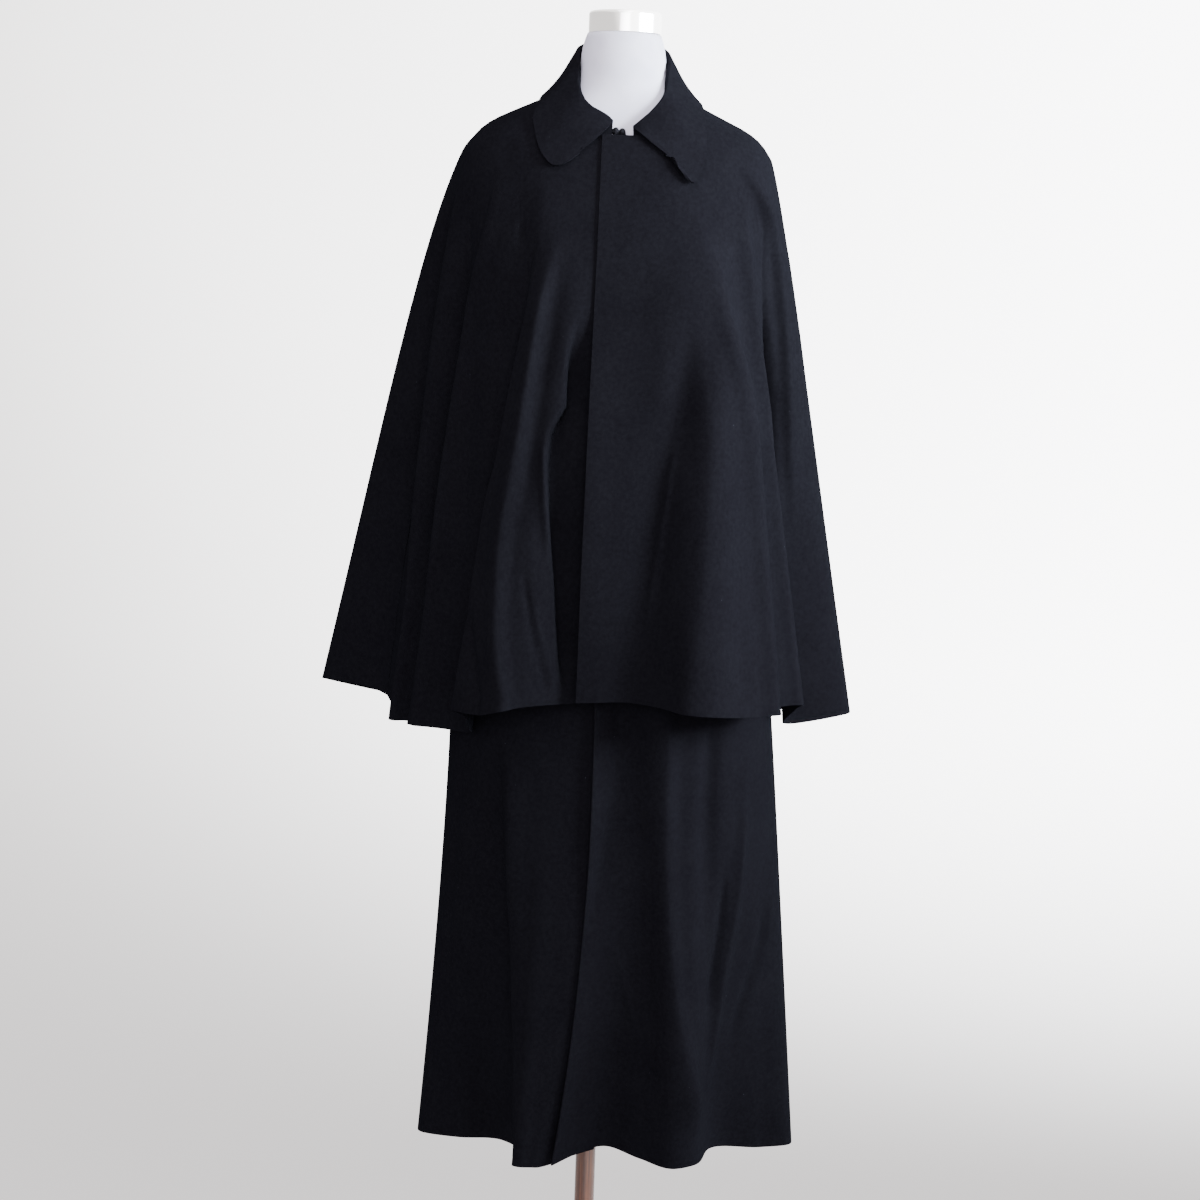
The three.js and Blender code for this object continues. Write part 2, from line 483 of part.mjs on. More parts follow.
/** The collar's profile at one row of its table, from the neck seam over the fold to its edge. */
function collarProfile(row) {
  const seamZ = neckHeight(row.foldAngle) + 1.5;
  const foldWidth = 2 * COLLAR_CLOTH + 0.8;
  const shoulderZ = row.foldZ - 3.4;
  const seamOff = COLLAR_SEAM_OFF + row.onFront * (row.standOff - COLLAR_SEAM_OFF);
  const stand = [0, 0.5, 1].map((share) =>
    draped(row.foldAngle, lerp(seamZ, shoulderZ, share), lerp(seamOff, row.standOff, share)),
  );
  const at = (share, z) => draped(row.foldAngle, z, row.standOff + share * foldWidth);
  const fold = [at(0.15, row.foldZ - 1), at(0.5, row.foldZ), at(0.85, row.foldZ - 1)];
  const top = at(1, shoulderZ);
  const edgeOffset = capeOffset(row.edgeAngle, row.edgeZ) + COLLAR_GAP + COLLAR_CLOTH;
  const edge = draped(row.edgeAngle, row.edgeZ, edgeOffset + row.lift);
  const fall = [0.22, 0.44, 0.66, 0.85, 1].map((share) => {
    const angle = lerp(row.foldAngle, row.edgeAngle, share);
    const z = lerp(shoulderZ, row.edgeZ, share);
    const laid = draped(
      angle,
      z,
      Math.max(
        lerp(row.standOff + foldWidth, edgeOffset, Math.min(share * 3, 1)),
        capeOffset(angle, z) + COLLAR_GAP + COLLAR_CLOTH,
      ) +
        row.lift * share * share,
    );
    return laid.lerp(top.clone().lerp(edge, share), row.bridge);
  });
  return [...stand, ...fold, top, ...fall];
}

function collarGeometry() {
  const row = tableCurve(COLLAR_ROWS, "foldAngle");
  const profiles = [collarProfile(COLLAR_ROWS[0])];
  for (let i = 1; i < COLLAR_ROWS.length; i++) {
    const [from, to] = [COLLAR_ROWS[i - 1].foldAngle, COLLAR_ROWS[i].foldAngle];
    const parts = Math.ceil((to - from) / COLLAR_STEP);
    for (let k = 1; k <= parts; k++) profiles.push(collarProfile(row(lerp(from, to, k / parts))));
  }
  const lines = profiles[0].map((_, line) => profiles.map((profile) => profile[line]));
  const sheet = meshOf(lines.flat(), gridFaces(lines.length, profiles.length));
  sheet.computeVertexNormals();
  const normal = sheet.getAttribute("normal");
  const normals = lines.flat().map((_, i) => new THREE.Vector3().fromBufferAttribute(normal, i));
  return clothWall(lines, normals, COLLAR_CLOTH);
}

/** The padded form: one closed skin on the same columns as the clothes, from its foot to its neck. */
function formGeometry() {
  const angles = [];
  for (let angle = 0; angle < FULL_TURN; angle += COLUMN_STEP) angles.push(angle);
  const topZ = FORM_SECTIONS[FORM_SECTIONS.length - 1].z;
  const heights = (angle) => [
    ...FORM_NECK_SHARES.map((share) => lerp(neckHeight(angle), topZ, share)),
    ...YOKE_SHARES.map((share) => lerp(neckHeight(angle), CHEST_Z, share)),
    ...FORM_BODY_HEIGHTS,
  ];
  const columns = angles.map((angle) => heights(angle).map((z) => formPoint(angle, z)));
  const lines = columns[0].length;
  const vertices = columns.flat();
  const faces = [];
  const index = (column, line) => (column % angles.length) * lines + line;
  for (let i = 0; i < angles.length; i++)
    for (let j = 0; j < lines - 1; j++)
      faces.push(
        index(i, j), index(i, j + 1), index(i + 1, j + 1),
        index(i, j), index(i + 1, j + 1), index(i + 1, j),
      );
  const top = vertices.length;
  vertices.push(new THREE.Vector3(0, 0, topZ), new THREE.Vector3(0, 0, FORM_SECTIONS[0].z));
  for (let i = 0; i < angles.length; i++) {
    faces.push(index(i, 0), index(i + 1, 0), top);
    faces.push(index(i + 1, lines - 1), index(i, lines - 1), top + 1);
  }
  return meshOf(vertices, faces);
}

/** A wire along a smooth path. */
function wireGeometry(path, { wire, sides, steps }) {
  const section = new THREE.Shape();
  for (let i = 0; i < sides; i++) {
    const turn = (i / sides) * 2 * Math.PI;
    const corner = [wire * Math.cos(turn), wire * Math.sin(turn)];
    if (i === 0) section.moveTo(...corner);
    else section.lineTo(...corner);
  }
  const curve = new THREE.CatmullRomCurve3(path.map(({ x, y, z }) => new THREE.Vector3(x, y, z)));
  return new THREE.ExtrudeGeometry(section, { steps, extrudePath: curve, bevelEnabled: false });
}

/** A turned piece about the pole's axis, from its [radius, height] profile, bottom to top. */
function turned(profile, segments) {
  const points = profile.map(([radius, height]) => new THREE.Vector2(radius, height));
  return new THREE.LatheGeometry(points, segments).rotateX(Math.PI / 2);
}

/** The turning profile of a disc with a rounded upper rim. */
function roundedDisc({ radius, footZ, topZ, edge }) {
  const rim = [0, 0.25, 0.5, 0.75, 1].map((share) => {
    const turn = (share * Math.PI) / 2;
    return [radius - edge + edge * Math.cos(turn), topZ - edge + edge * Math.sin(turn)];
  });
  return [[0, footZ], [radius, footZ], ...rim, [0, topZ]];
}

const wool = () => new THREE.MeshStandardMaterial({ color: 0x17181b, roughness: 0.95, metalness: 0 });
const jersey = () => new THREE.MeshStandardMaterial({ color: 0xeeeef4, roughness: 0.8, metalness: 0 });
const chrome = () => new THREE.MeshStandardMaterial({ color: 0xd8d8d6, roughness: 0.08, metalness: 1 });
const darkMetal = () => new THREE.MeshStandardMaterial({ color: 0x3c3c3f, roughness: 0.4, metalness: 1 });
const varnishedWood = () => new THREE.MeshStandardMaterial({ color: 0x4a2410, roughness: 0.3, metalness: 0 });

function part(name, geometry, material) {
  const mesh = new THREE.Mesh(geometry, material);
  mesh.name = name;
  return mesh;
}

const [coatStart, coatEnd] = [COAT_FOLDS[0].angle, COAT_FOLDS[COAT_FOLDS.length - 1].angle];
const [capeStart, capeEnd] = [CAPE_FOLDS[0].angle, CAPE_FOLDS[CAPE_FOLDS.length - 1].angle];
const [leftSide, backSeam, rightSide] = SEAM_ANGLES;
const capProfile = roundedDisc(CAP);
const poleProfile = [
  [0, POLE.footZ],
  [POLE.radius, POLE.footZ],
  [POLE.radius, POLE.topZ],
  [0, POLE.topZ],
];

// Left and right are the wearer's: the left fronts lie over the right ones.
const group = new THREE.Group();
group.add(
  part("coat_front_left", panel(coatLayer, coatStart, leftSide), wool()),
  part("coat_back", panel(coatLayer, leftSide, rightSide), wool()),
  part("coat_front_right", panel(coatLayer, rightSide, coatEnd), wool()),
  part("cape_front_left", panel(capeLayer, capeStart, leftSide), wool()),
  part("cape_back_left", panel(capeLayer, leftSide, backSeam), wool()),
  part("cape_back_right", panel(capeLayer, backSeam, rightSide), wool()),
  part("cape_front_right", panel(capeLayer, rightSide, capeEnd), wool()),
  part("collar", collarGeometry(), wool()),
  part("neck_hook", wireGeometry(HOOK_PATH, HOOK), darkMetal()),
  part("form_torso", formGeometry(), jersey()),
  part("neck_cap", turned(capProfile, CAP.segments), chrome()),
  part("pole", turned(poleProfile, POLE.segments), varnishedWood()),
  part("foot", turned(roundedDisc(FOOT), FOOT.segments), varnishedWood()),
);

export default group;
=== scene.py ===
"""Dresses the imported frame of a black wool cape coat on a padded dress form.

Sizes in the classes are millimetres and the meshes are in metres. +Z is up, the coat's front faces
-Y, +X is the wearer's left, and the origin is on the floor under the pole. An angle is in degrees
from the front towards +X.
"""

import logging
import math
from dataclasses import dataclass, field
from typing import Callable, NamedTuple, Sequence

import bmesh
import bpy
import numpy as np
from mathutils import Matrix, Vector

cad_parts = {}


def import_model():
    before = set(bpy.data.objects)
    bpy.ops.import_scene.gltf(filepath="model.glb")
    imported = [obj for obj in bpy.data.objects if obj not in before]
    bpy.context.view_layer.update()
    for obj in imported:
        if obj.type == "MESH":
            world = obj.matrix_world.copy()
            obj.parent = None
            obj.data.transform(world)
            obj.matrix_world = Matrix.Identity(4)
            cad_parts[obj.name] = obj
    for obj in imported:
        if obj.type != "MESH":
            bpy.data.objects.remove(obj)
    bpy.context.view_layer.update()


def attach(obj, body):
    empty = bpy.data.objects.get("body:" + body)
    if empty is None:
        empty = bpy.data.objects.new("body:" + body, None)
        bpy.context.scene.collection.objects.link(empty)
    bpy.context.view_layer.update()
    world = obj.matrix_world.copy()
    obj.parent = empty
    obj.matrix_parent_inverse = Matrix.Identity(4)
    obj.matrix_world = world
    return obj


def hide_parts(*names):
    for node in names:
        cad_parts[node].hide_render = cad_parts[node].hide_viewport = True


log = logging.getLogger("cape_coat")

Array = np.ndarray
Surface = Callable[[Array, Array], Array]
Profile = tuple[tuple[float, float], ...]
Tree = bpy.types.NodeTree
Socket = bpy.types.NodeSocket

MM = 0.001
FULL_TURN = 360.0
SIDE_SEAMS = (90.0, 270.0)
# The fronts lap in full up to the first of these angles, and no more from the second.
LAP_FULL, LAP_END = 30.0, 60.0
# How strongly each pass of smoothing draws a point to its neighbours, down and across a sheet.
PULL_DOWN, PULL_ACROSS = 0.25, 0.2
TINY = 1e-6


class FormSection(NamedTuple):
    """A level section of the form. front and back are its depths before and behind the pole."""

    z: float
    half_width: float
    front: float
    back: float
    square: float


class SeamPlace(NamedTuple):
    """Where the neck seam runs, by the angle from the front."""

    angle: float
    z: float


class CapeFold(NamedTuple):
    """One of the cape's folds: its root on the shoulders, its place at the hem and its bow."""

    name: str
    angle: float
    root: float
    x: float
    y: float
    z: float
    bulge: float


class CoatFold(NamedTuple):
    """One of the long coat's folds: its place at the hem, and how fast it grows from the hip."""

    name: str
    angle: float
    x: float
    y: float
    z: float
    onset: float


class CollarRow(NamedTuple):
    """A profile of the collar: its fold line, its outer edge, and how it lies on what is under it."""

    fold_angle: float
    fold_z: float
    stand_off: float
    edge_angle: float
    edge_z: float
    lift: float
    bridge: float
    on_front: float


class Crease(NamedTuple):
    """A soft ridge, or a trough where its height is below 0, down a path of (angle, z) points.

    widths are its reach towards lower and towards higher angles, in millimetres along the cloth, and
    fade the shares of its length over which its upper and its lower end die away.
    """

    height: float
    widths: tuple[float, float]
    fade: tuple[float, float]
    path: tuple[tuple[float, float], ...]


FORM_SECTIONS = (
    FormSection(822, 132, 84, 92, 2.1),
    FormSection(830, 146, 95, 103, 2.1),
    FormSection(860, 157, 103, 111, 2.1),
    FormSection(920, 157, 103, 112, 2.1),
    FormSection(1000, 142, 95, 102, 2.1),
    FormSection(1100, 117, 85, 84, 2.1),
    FormSection(1200, 142, 107, 97, 2.2),
    FormSection(1250, 156, 117, 107, 2.3),
    FormSection(1300, 166, 116, 111, 2.4),
    FormSection(1360, 173, 101, 110, 2.4),
    FormSection(1400, 174, 88, 105, 2.4),
    FormSection(1430, 169, 75, 99, 2.3),
    FormSection(1445, 160, 69, 94, 2.2),
    FormSection(1456, 147, 65, 89, 2.15),
    FormSection(1467, 126, 61, 83, 2.1),
    FormSection(1480, 97, 58, 75, 2),
    FormSection(1492, 74, 56, 68, 2),
    FormSection(1505, 59, 54, 62, 2),
    FormSection(1520, 52.5, 52, 58, 2),
    FormSection(1540, 50.5, 50, 54, 2),
    FormSection(1556, 47.5, 47, 50, 2),
    FormSection(1566, 44, 44, 45, 2),
)

NECK_SEAM = (
    SeamPlace(0, 1438),
    SeamPlace(20, 1440),
    SeamPlace(40, 1459),
    SeamPlace(65, 1483),
    SeamPlace(90, 1494),
    SeamPlace(135, 1502),
    SeamPlace(180, 1505),
)

CAPE_FOLDS = (
    CapeFold("upper edge", -12, 1290, -30, -155, 787, 4),
    CapeFold("flat front", 0, 1290, 18, -158, 789, 5),
    CapeFold("front step", 12, 1290, 62, -171, 787, 6),
    CapeFold("front ridge", 24, 1300, 108, -189, 781, 10),
    CapeFold("front slope", 36, 1320, 164, -166, 778, 16),
    CapeFold("front fold", 42, 1330, 197, -132, 777, 20),
    CapeFold("front fold's back", 48, 1330, 200, -106, 776, 14),
    CapeFold("first hollow", 54, 1345, 192, -80, 776, 8),
    CapeFold("arm fold", 66, 1425, 236, -32, 779, 2),
    CapeFold("arm hollow", 78, 1425, 222, 14, 750, 4),
    CapeFold("side fold", 90, 1428, 300, 48, 761, 6),
    CapeFold("side fold's back", 96, 1428, 304, 76, 761, 6),
    CapeFold("side hollow", 108, 1415, 246, 112, 752, 6),
    CapeFold("blade fold", 120, 1395, 222, 172, 750, 10),
    CapeFold("blade hollow", 138, 1370, 140, 158, 750, 4),
    CapeFold("back fold", 150, 1355, 104, 206, 750, 8),
    CapeFold("back hollow", 162, 1345, 55, 176, 750, 4),
    CapeFold("centre fold", 174, 1340, 14, 209, 750, 6),
    CapeFold("centre hollow", 186, 1340, -32, 176, 750, 4),
    CapeFold("back fold", 198, 1345, -80, 208, 750, 8),
    CapeFold("back hollow", 210, 1355, -124, 168, 750, 4),
    CapeFold("blade fold", 222, 1370, -182, 186, 750, 10),
    CapeFold("blade hollow", 234, 1400, -222, 134, 752, 8),
    CapeFold("wide fold's back", 246, 1436, -298, 130, 764, 26),
    CapeFold("wide fold", 252, 1440, -338, 112, 774, 30),
    CapeFold("wide fold's front", 258, 1440, -344, 88, 778, 30),
    CapeFold("side hollow", 270, 1432, -262, 50, 764, 14),
    CapeFold("arm fold", 276, 1432, -258, 12, 745, 11),
    CapeFold("arm hollow", 288, 1432, -238, -14, 741, 8),
    CapeFold("slim fold", 294, 1436, -238, -36, 741, 9),
    CapeFold("deep hollow", 300, 1420, -182, -52, 738, 8),
    CapeFold("hollow's end", 306, 1405, -154, -78, 738, 8),
    CapeFold("hollow's front", 312, 1390, -166, -102, 752, 10),
    CapeFold("front fold", 318, 1375, -178, -122, 768, 13),
    CapeFold("front ridge", 330, 1330, -141, -164, 770, 8),
    CapeFold("inner ridge", 342, 1300, -94, -168, 781, 8),
    CapeFold("covered slope", 354, 1290, -36, -137, 784, 3),
    CapeFold("under edge", 366, 1290, 18, -132, 786, 2),
)

COAT_FOLDS = (
    CoatFold("upper edge", -9, -40, -103, 227, 2.4),
    CoatFold("edge slope", 0, -10, -76, 236, 2),
    CoatFold("front hollow", 12, 24, -56, 241, 1.7),
    CoatFold("front slope", 24, 64, -78, 233, 1.4),
    CoatFold("front ridge", 36, 106, -102, 228, 1.3),
    CoatFold("ridge's end", 42, 130, -92, 231, 1.5),
    CoatFold("side hollow", 54, 150, -18, 233, 1.9),
    CoatFold("wing", 72, 212, 16, 228, 1.3),
    CoatFold("wing tip", 84, 249, 28, 230, 1),
    CoatFold("side", 96, 247, 60, 232, 1),
    CoatFold("side back", 108, 214, 98, 230, 1.2),
    CoatFold("back fold", 126, 160, 140, 228, 1.2),
    CoatFold("back hollow", 144, 92, 120, 228, 1.4),
    CoatFold("back fold", 162, 45, 142, 228, 1.2),
    CoatFold("centre hollow", 180, 5, 122, 228, 1.4),
    CoatFold("back fold", 198, -42, 142, 228, 1.2),
    CoatFold("back hollow", 216, -88, 120, 228, 1.4),
    CoatFold("back fold", 234, -145, 136, 228, 1.2),
    CoatFold("side back", 252, -186, 98, 230, 1.3),
    CoatFold("side", 264, -205, 58, 231, 1.4),
    CoatFold("wing tip", 276, -202, 26, 230, 1.6),
    CoatFold("wing", 288, -156, 14, 228, 2),
    CoatFold("side hollow", 300, -104, 12, 227, 2.2),
    CoatFold("fold's back", 306, -84, -20, 227, 2.2),
    CoatFold("front fold", 318, -93, -72, 226, 2),
    CoatFold("fold's front", 324, -87, -94, 225, 1.8),
    CoatFold("front", 336, -64, -101, 224, 1.8),
    CoatFold("covered edge", 348, -46, -95, 225, 2.4),
    CoatFold("covered slope", 360, -14, -69, 232, 2),
    CoatFold("under edge", 369, 10, -52, 236, 1.8),
)

COLLAR_ROWS = (
    CollarRow(11, 1451, 9.5, 30, 1418, 2, 0, 1),
    CollarRow(15, 1455, 9.5, 35, 1409, 3, 0, 1),
    CollarRow(20, 1460, 9, 39, 1397, 5, 0, 1),
    CollarRow(26, 1467, 8, 42.5, 1385, 5, 0, 0.9),
    CollarRow(33, 1476, 7, 47, 1394, 4, 0.1, 0.7),
    CollarRow(43, 1489, 5.5, 54.5, 1421, 2, 0.4, 0.4),
    CollarRow(56, 1508, 3.5, 61.5, 1451, 0, 0.7, 0.1),
    CollarRow(70, 1525, 2.2, 69, 1471, 0, 0.8, 0),
    CollarRow(88, 1541, 1.5, 86, 1484, 0, 0.8, 0),
    CollarRow(108, 1550, 1.5, 106, 1485, 0, 0.8, 0),
    CollarRow(135, 1557, 1.5, 134, 1482, 0, 0.9, 0),
    CollarRow(180, 1560, 1.5, 180, 1476, 0, 0.9, 0),
    CollarRow(225, 1557, 1.5, 226, 1482, 0, 0.9, 0),
    CollarRow(252, 1552, 1.5, 254, 1485, 0, 0.8, 0),
    CollarRow(272, 1545, 1.5, 274, 1484, 0, 0.8, 0),
    CollarRow(290, 1527, 2.2, 290, 1471, 0, 0.8, 0),
    CollarRow(303, 1508, 3, 298, 1451, 0, 0.7, 0.1),
    CollarRow(315, 1491, 4, 305.5, 1427, 1, 0.4, 0.4),
    CollarRow(324, 1479, 5, 311.5, 1410, 2, 0.1, 0.6),
    CollarRow(331, 1473, 6, 317, 1400, 2, 0, 0.8),
    CollarRow(338, 1469, 6, 321.5, 1399, 2, 0, 1),
    CollarRow(345, 1464, 6, 326.5, 1405, 1, 0, 1),
    CollarRow(351, 1458, 6, 332, 1417, 1, 0, 1),
)

HOOK_PATH = (
    (-12, -73.8, 1448),
    (-7, -73.8, 1447.8),
    (-3, -73.8, 1447),
    (1, -74, 1446.8),
    (3.8, -74, 1444.5),
    (4, -74, 1441),
    (1, -74, 1439.5),
)

HOOK_WRAPS = ((0.17, 4.2), (0.48, 4.2))


def linear(code: str) -> tuple[float, float, float, float]:
    """Turns an sRGB hex colour to linear light.

    Args:
        code: The colour as six hex digits.

    Returns:
        Red, green, blue and an opacity of 1.
    """
    parts = [int(code[i : i + 2], 16) / 255 for i in (0, 2, 4)]
    light = [c / 12.92 if c <= 0.04045 else ((c + 0.055) / 1.055) ** 2.4 for c in parts]
    return (light[0], light[1], light[2], 1.0)


def smoothstep(value: Array, low: float, high: float) -> Array:
    """A smooth share, 0 up to low and 1 from high."""
    share = np.clip((value - low) / (high - low), 0, 1)
    return share * share * (3 - 2 * share)


def blend(a: Array, b: Array, share: Array) -> Array:
    """The points that lie a share of the way from a to b."""
    return a + (b - a) * np.asarray(share)[..., None]


def unit(vectors: Array) -> Array:
    """Vectors of length 1 in the same directions."""
    return vectors / np.linalg.norm(vectors, axis=-1, keepdims=True)


def from_front(angle: Array) -> Array:
    """How far an angle is from the front, whichever way round."""
    wrapped = np.mod(angle, FULL_TURN)
    return np.minimum(wrapped, FULL_TURN - wrapped)


def outwards(surface: Surface, angle: Array, z: Array) -> Array:
    """The direction straight out of a surface.

    Args:
        surface: Gives the surface's points from angles and heights.
        angle: The angles to look at.
        z: The heights to look at.

    Returns:
        A unit vector for each place.
    """
    step = 0.5
    around = surface(angle + step, z) - surface(angle - step, z)
    rise = surface(angle, z + step) - surface(angle, z - step)
    return unit(np.cross(around, rise))


class TableCurve:
    """A smooth curve through a table's rows, read at many places of one column at once."""

    def __init__(self, rows: Sequence[NamedTuple], key: str) -> None:
        """Works out the curve's slope at each row.

        Args:
            rows: The table.
            key: The column that the curve is read by, which rises from row to row.
        """
        names = [name for name in rows[0]._fields if name != "name"]
        self.columns = {name: np.array([getattr(r, name) for r in rows], float) for name in names}
        self.places = self.columns[key]
        self.widths = np.diff(self.places)
        self.slopes = {}
        for name, values in self.columns.items():
            secant = np.diff(values) / self.widths
            before, after = self.widths[:-1], self.widths[1:]
            inner = (secant[:-1] * after + secant[1:] * before) / (before + after)
            self.slopes[name] = np.concatenate([secant[:1], inner, secant[-1:]])

    def __call__(self, at: Array) -> dict[str, Array]:
        """Every column's value at these places."""
        at = np.asarray(at, float)
        i = np.clip(np.searchsorted(self.places, at) - 1, 0, len(self.widths) - 1)
        width = self.widths[i]
        s = np.clip((at - self.places[i]) / width, 0, 1)
        rise = 3 * s**2 - 2 * s**3
        leaving, arriving = s**3 - 2 * s**2 + s, s**3 - s**2
        result = {}
        for name, values in self.columns.items():
            slope = self.slopes[name]
            bend = width * (leaving * slope[i] + arriving * slope[i + 1])
            result[name] = values[i] + (values[i + 1] - values[i]) * rise + bend
        return result


def oval_point(section: dict[str, Array], angle: Array, z: Array) -> Array:
    """Points of a rounded level section.

    Args:
        section: Its half_width, front, back and square, and centre_x where it isn't 0.
        angle: The angles from the front.
        z: The heights.

    Returns:
        The points.
    """
    across, along = np.sin(np.radians(angle)), np.cos(np.radians(angle))
    depth = np.where(along > 0, section["front"], section["back"])
    power = section["square"]
    sum_of_powers = np.abs(across / section["half_width"]) ** power + np.abs(along / depth) ** power
    reach = sum_of_powers ** (-1 / power)
    return np.stack([section.get("centre_x", 0) + reach * across, -reach * along, z + 0 * angle], -1)


def middle_share(angle: Array) -> Array:
    """1 where two fronts lie on each other by the middle, falling to 0 towards the sides."""
    return 1 - smoothstep(angle, LAP_FULL, LAP_END)


@dataclass
class DressForm:
    """The padded form's shape, which every layer is draped from."""

    shoulder_drop: float = 5.0
    shoulder_narrowing: float = 3.0
    shoulder_x: float = 140.0
    shoulder_z: tuple[float, float] = (1330.0, 1430.0)
    chest_z: float = 1300.0
    section: TableCurve = field(default_factory=lambda: TableCurve(FORM_SECTIONS, "z"))
    neck_seam: TableCurve = field(default_factory=lambda: TableCurve(NECK_SEAM, "angle"))

    def point(self, angle: Array, z: Array) -> Array:
        """Points of the form's surface. The shoulder at +X sits a little lower and nearer the neck."""
        point = oval_point(self.section(z), angle, z)
        on_shoulder = smoothstep(point[..., 0], 0, self.shoulder_x) * smoothstep(z, *self.shoulder_z)
        point[..., 2] -= self.shoulder_drop * on_shoulder
        point[..., 0] -= self.shoulder_narrowing * on_shoulder
        return point

    def draped(self, angle: Array, z: Array, offset: Array) -> Array:
        """Points that lie off the form's surface by an offset."""
        return self.point(angle, z) + outwards(self.point, angle, z) * np.asarray(offset)[..., None]

    def neck_z(self, angle: Array) -> Array:
        """The neck seam's height at each angle."""
        return self.neck_seam(from_front(angle))["z"]


@dataclass
class CoatLayer:
    """The long coat's outer side: draped to the chest, and hanging clear from there to its hem."""

    form: DressForm
    cloth: float = 2.0
    shoulder_gap: float = 0.9
    away: float = 3.7
    overlap_step: float = 3.2
    shoulder_z: float = 1470.0
    shoulder_fall: float = 65.0
    hip_z: float = 760.0
    armhole_top_z: float = 1427.0
    armhole_foot_z: float = 1235.0
    armhole_reach: float = 30.0
    armhole_spread: float = 60.0
    armhole_roundness: float = 0.7
    hip_centre_x: float = 12.0
    hip_half_width: float = 193.0
    hip_front: float = 118.0
    hip_back: float = 128.0
    hip_square: float = 2.2
    body_curve: float = 1.6
    yoke_lines: int = 18
    body_lines: int = 40
    skirt_lines: int = 66
    height_passes: int = 5
    fold: TableCurve = field(default_factory=lambda: TableCurve(COAT_FOLDS, "angle"))

    def hang_share(self, z: Array) -> Array:
        """How far a layer hangs away from the one under it: it rests on the shoulders' tops alone."""
        return 1 - smoothstep(z, self.shoulder_z - self.shoulder_fall, self.shoulder_z)

    def offset(self, angle: Array, z: Array) -> Array:
        """How far the coat's outer side stands off the form."""
        gap = self.shoulder_gap + self.cloth + self.away * self.hang_share(z)
        return gap + self.overlap_step * middle_share(angle)

    def hip_point(self, angle: Array) -> Array:
        """Points of the coat at the hip, where it hangs clear of the form."""
        oval = {
            "half_width": self.hip_half_width,
            "front": self.hip_front,
            "back": self.hip_back,
            "square": self.hip_square,
            "centre_x": self.hip_centre_x,
        }
        hip = oval_point(oval, angle, np.full_like(angle, self.hip_z))
        outward = hip - np.array([self.hip_centre_x, 0, self.hip_z])
        return hip + unit(outward) * (self.overlap_step * middle_share(angle))[..., None]

    def point(self, angle: Array, z: Array) -> Array:
        """Points of the coat's outer side."""
        angle, z = np.broadcast_arrays(np.asarray(angle, float), np.asarray(z, float))
        chest_z = self.form.chest_z
        high = np.maximum(z, chest_z)
        draped = self.form.draped(angle, high, self.offset(angle, high))
        hip = self.hip_point(angle)
        hem = self.fold(angle)
        body_share = np.clip((chest_z - z) / (chest_z - self.hip_z), 0, 1) ** self.body_curve
        skirt_share = np.clip((self.hip_z - z) / (self.hip_z - hem["z"]), 0, None) ** hem["onset"]
        body = blend(draped, hip, body_share)
        skirt = blend(hip, np.stack([hem["x"], hem["y"], hem["z"]], -1), skirt_share)
        hanging = np.where((z >= self.hip_z)[..., None], body, skirt)
        hanging[..., 2] = z
        return np.where((z >= chest_z)[..., None], draped, hanging)

    def height_for(self, bearing: Array, z: Array) -> Array:
        """The heights to ask point for, so that its points come to lie at true heights."""
        asked = z
        for _ in range(self.height_passes):
            asked = asked + z - self.point(bearing, asked)[..., 2]
        return asked

    def heights(self, angle: Array) -> Array:
        """The heights of the sheet's cross lines at each column, from the neck seam down."""
        chest, hip = self.form.chest_z + 0 * angle, self.hip_z + 0 * angle
        yoke = heights_between(self.form.neck_z(angle), chest, self.yoke_lines)
        body = heights_between(chest, hip, self.body_lines)[1:]
        skirt = heights_between(hip, self.fold(angle)["z"], self.skirt_lines)[1:]
        return np.concatenate([yoke, body, skirt])

    def armhole_cut(self, z: Array) -> Array:
        """How far the armhole cuts in from the side seam at a height, in degrees."""
        share = (self.armhole_top_z - z) / (self.armhole_top_z - self.armhole_foot_z)
        inside = np.clip(share, 0, 1)
        return self.armhole_reach * np.clip(np.sin(math.pi * inside), 0, 1) ** self.armhole_roundness

    def shifted(self, angle: Array, z: Array, side: Array) -> Array:
        """Moves the columns away from the side seams where the armholes are.

        Args:
            angle: The columns' own angles.
            z: The heights.
            side: 1 at a panel's first column, -1 at its last and 0 between them.

        Returns:
            The angles to cut the layer at.
        """
        cut = self.armhole_cut(z)
        place = angle + 0 * z
        for seam in SIDE_SEAMS:
            distance = angle - seam
            way = np.where(distance < 0, -1, 1)
            way = np.where(np.abs(distance) < TINY, side, way)
            place = place + way * cut * np.maximum(0, 1 - np.abs(distance) / self.armhole_spread)
        return place


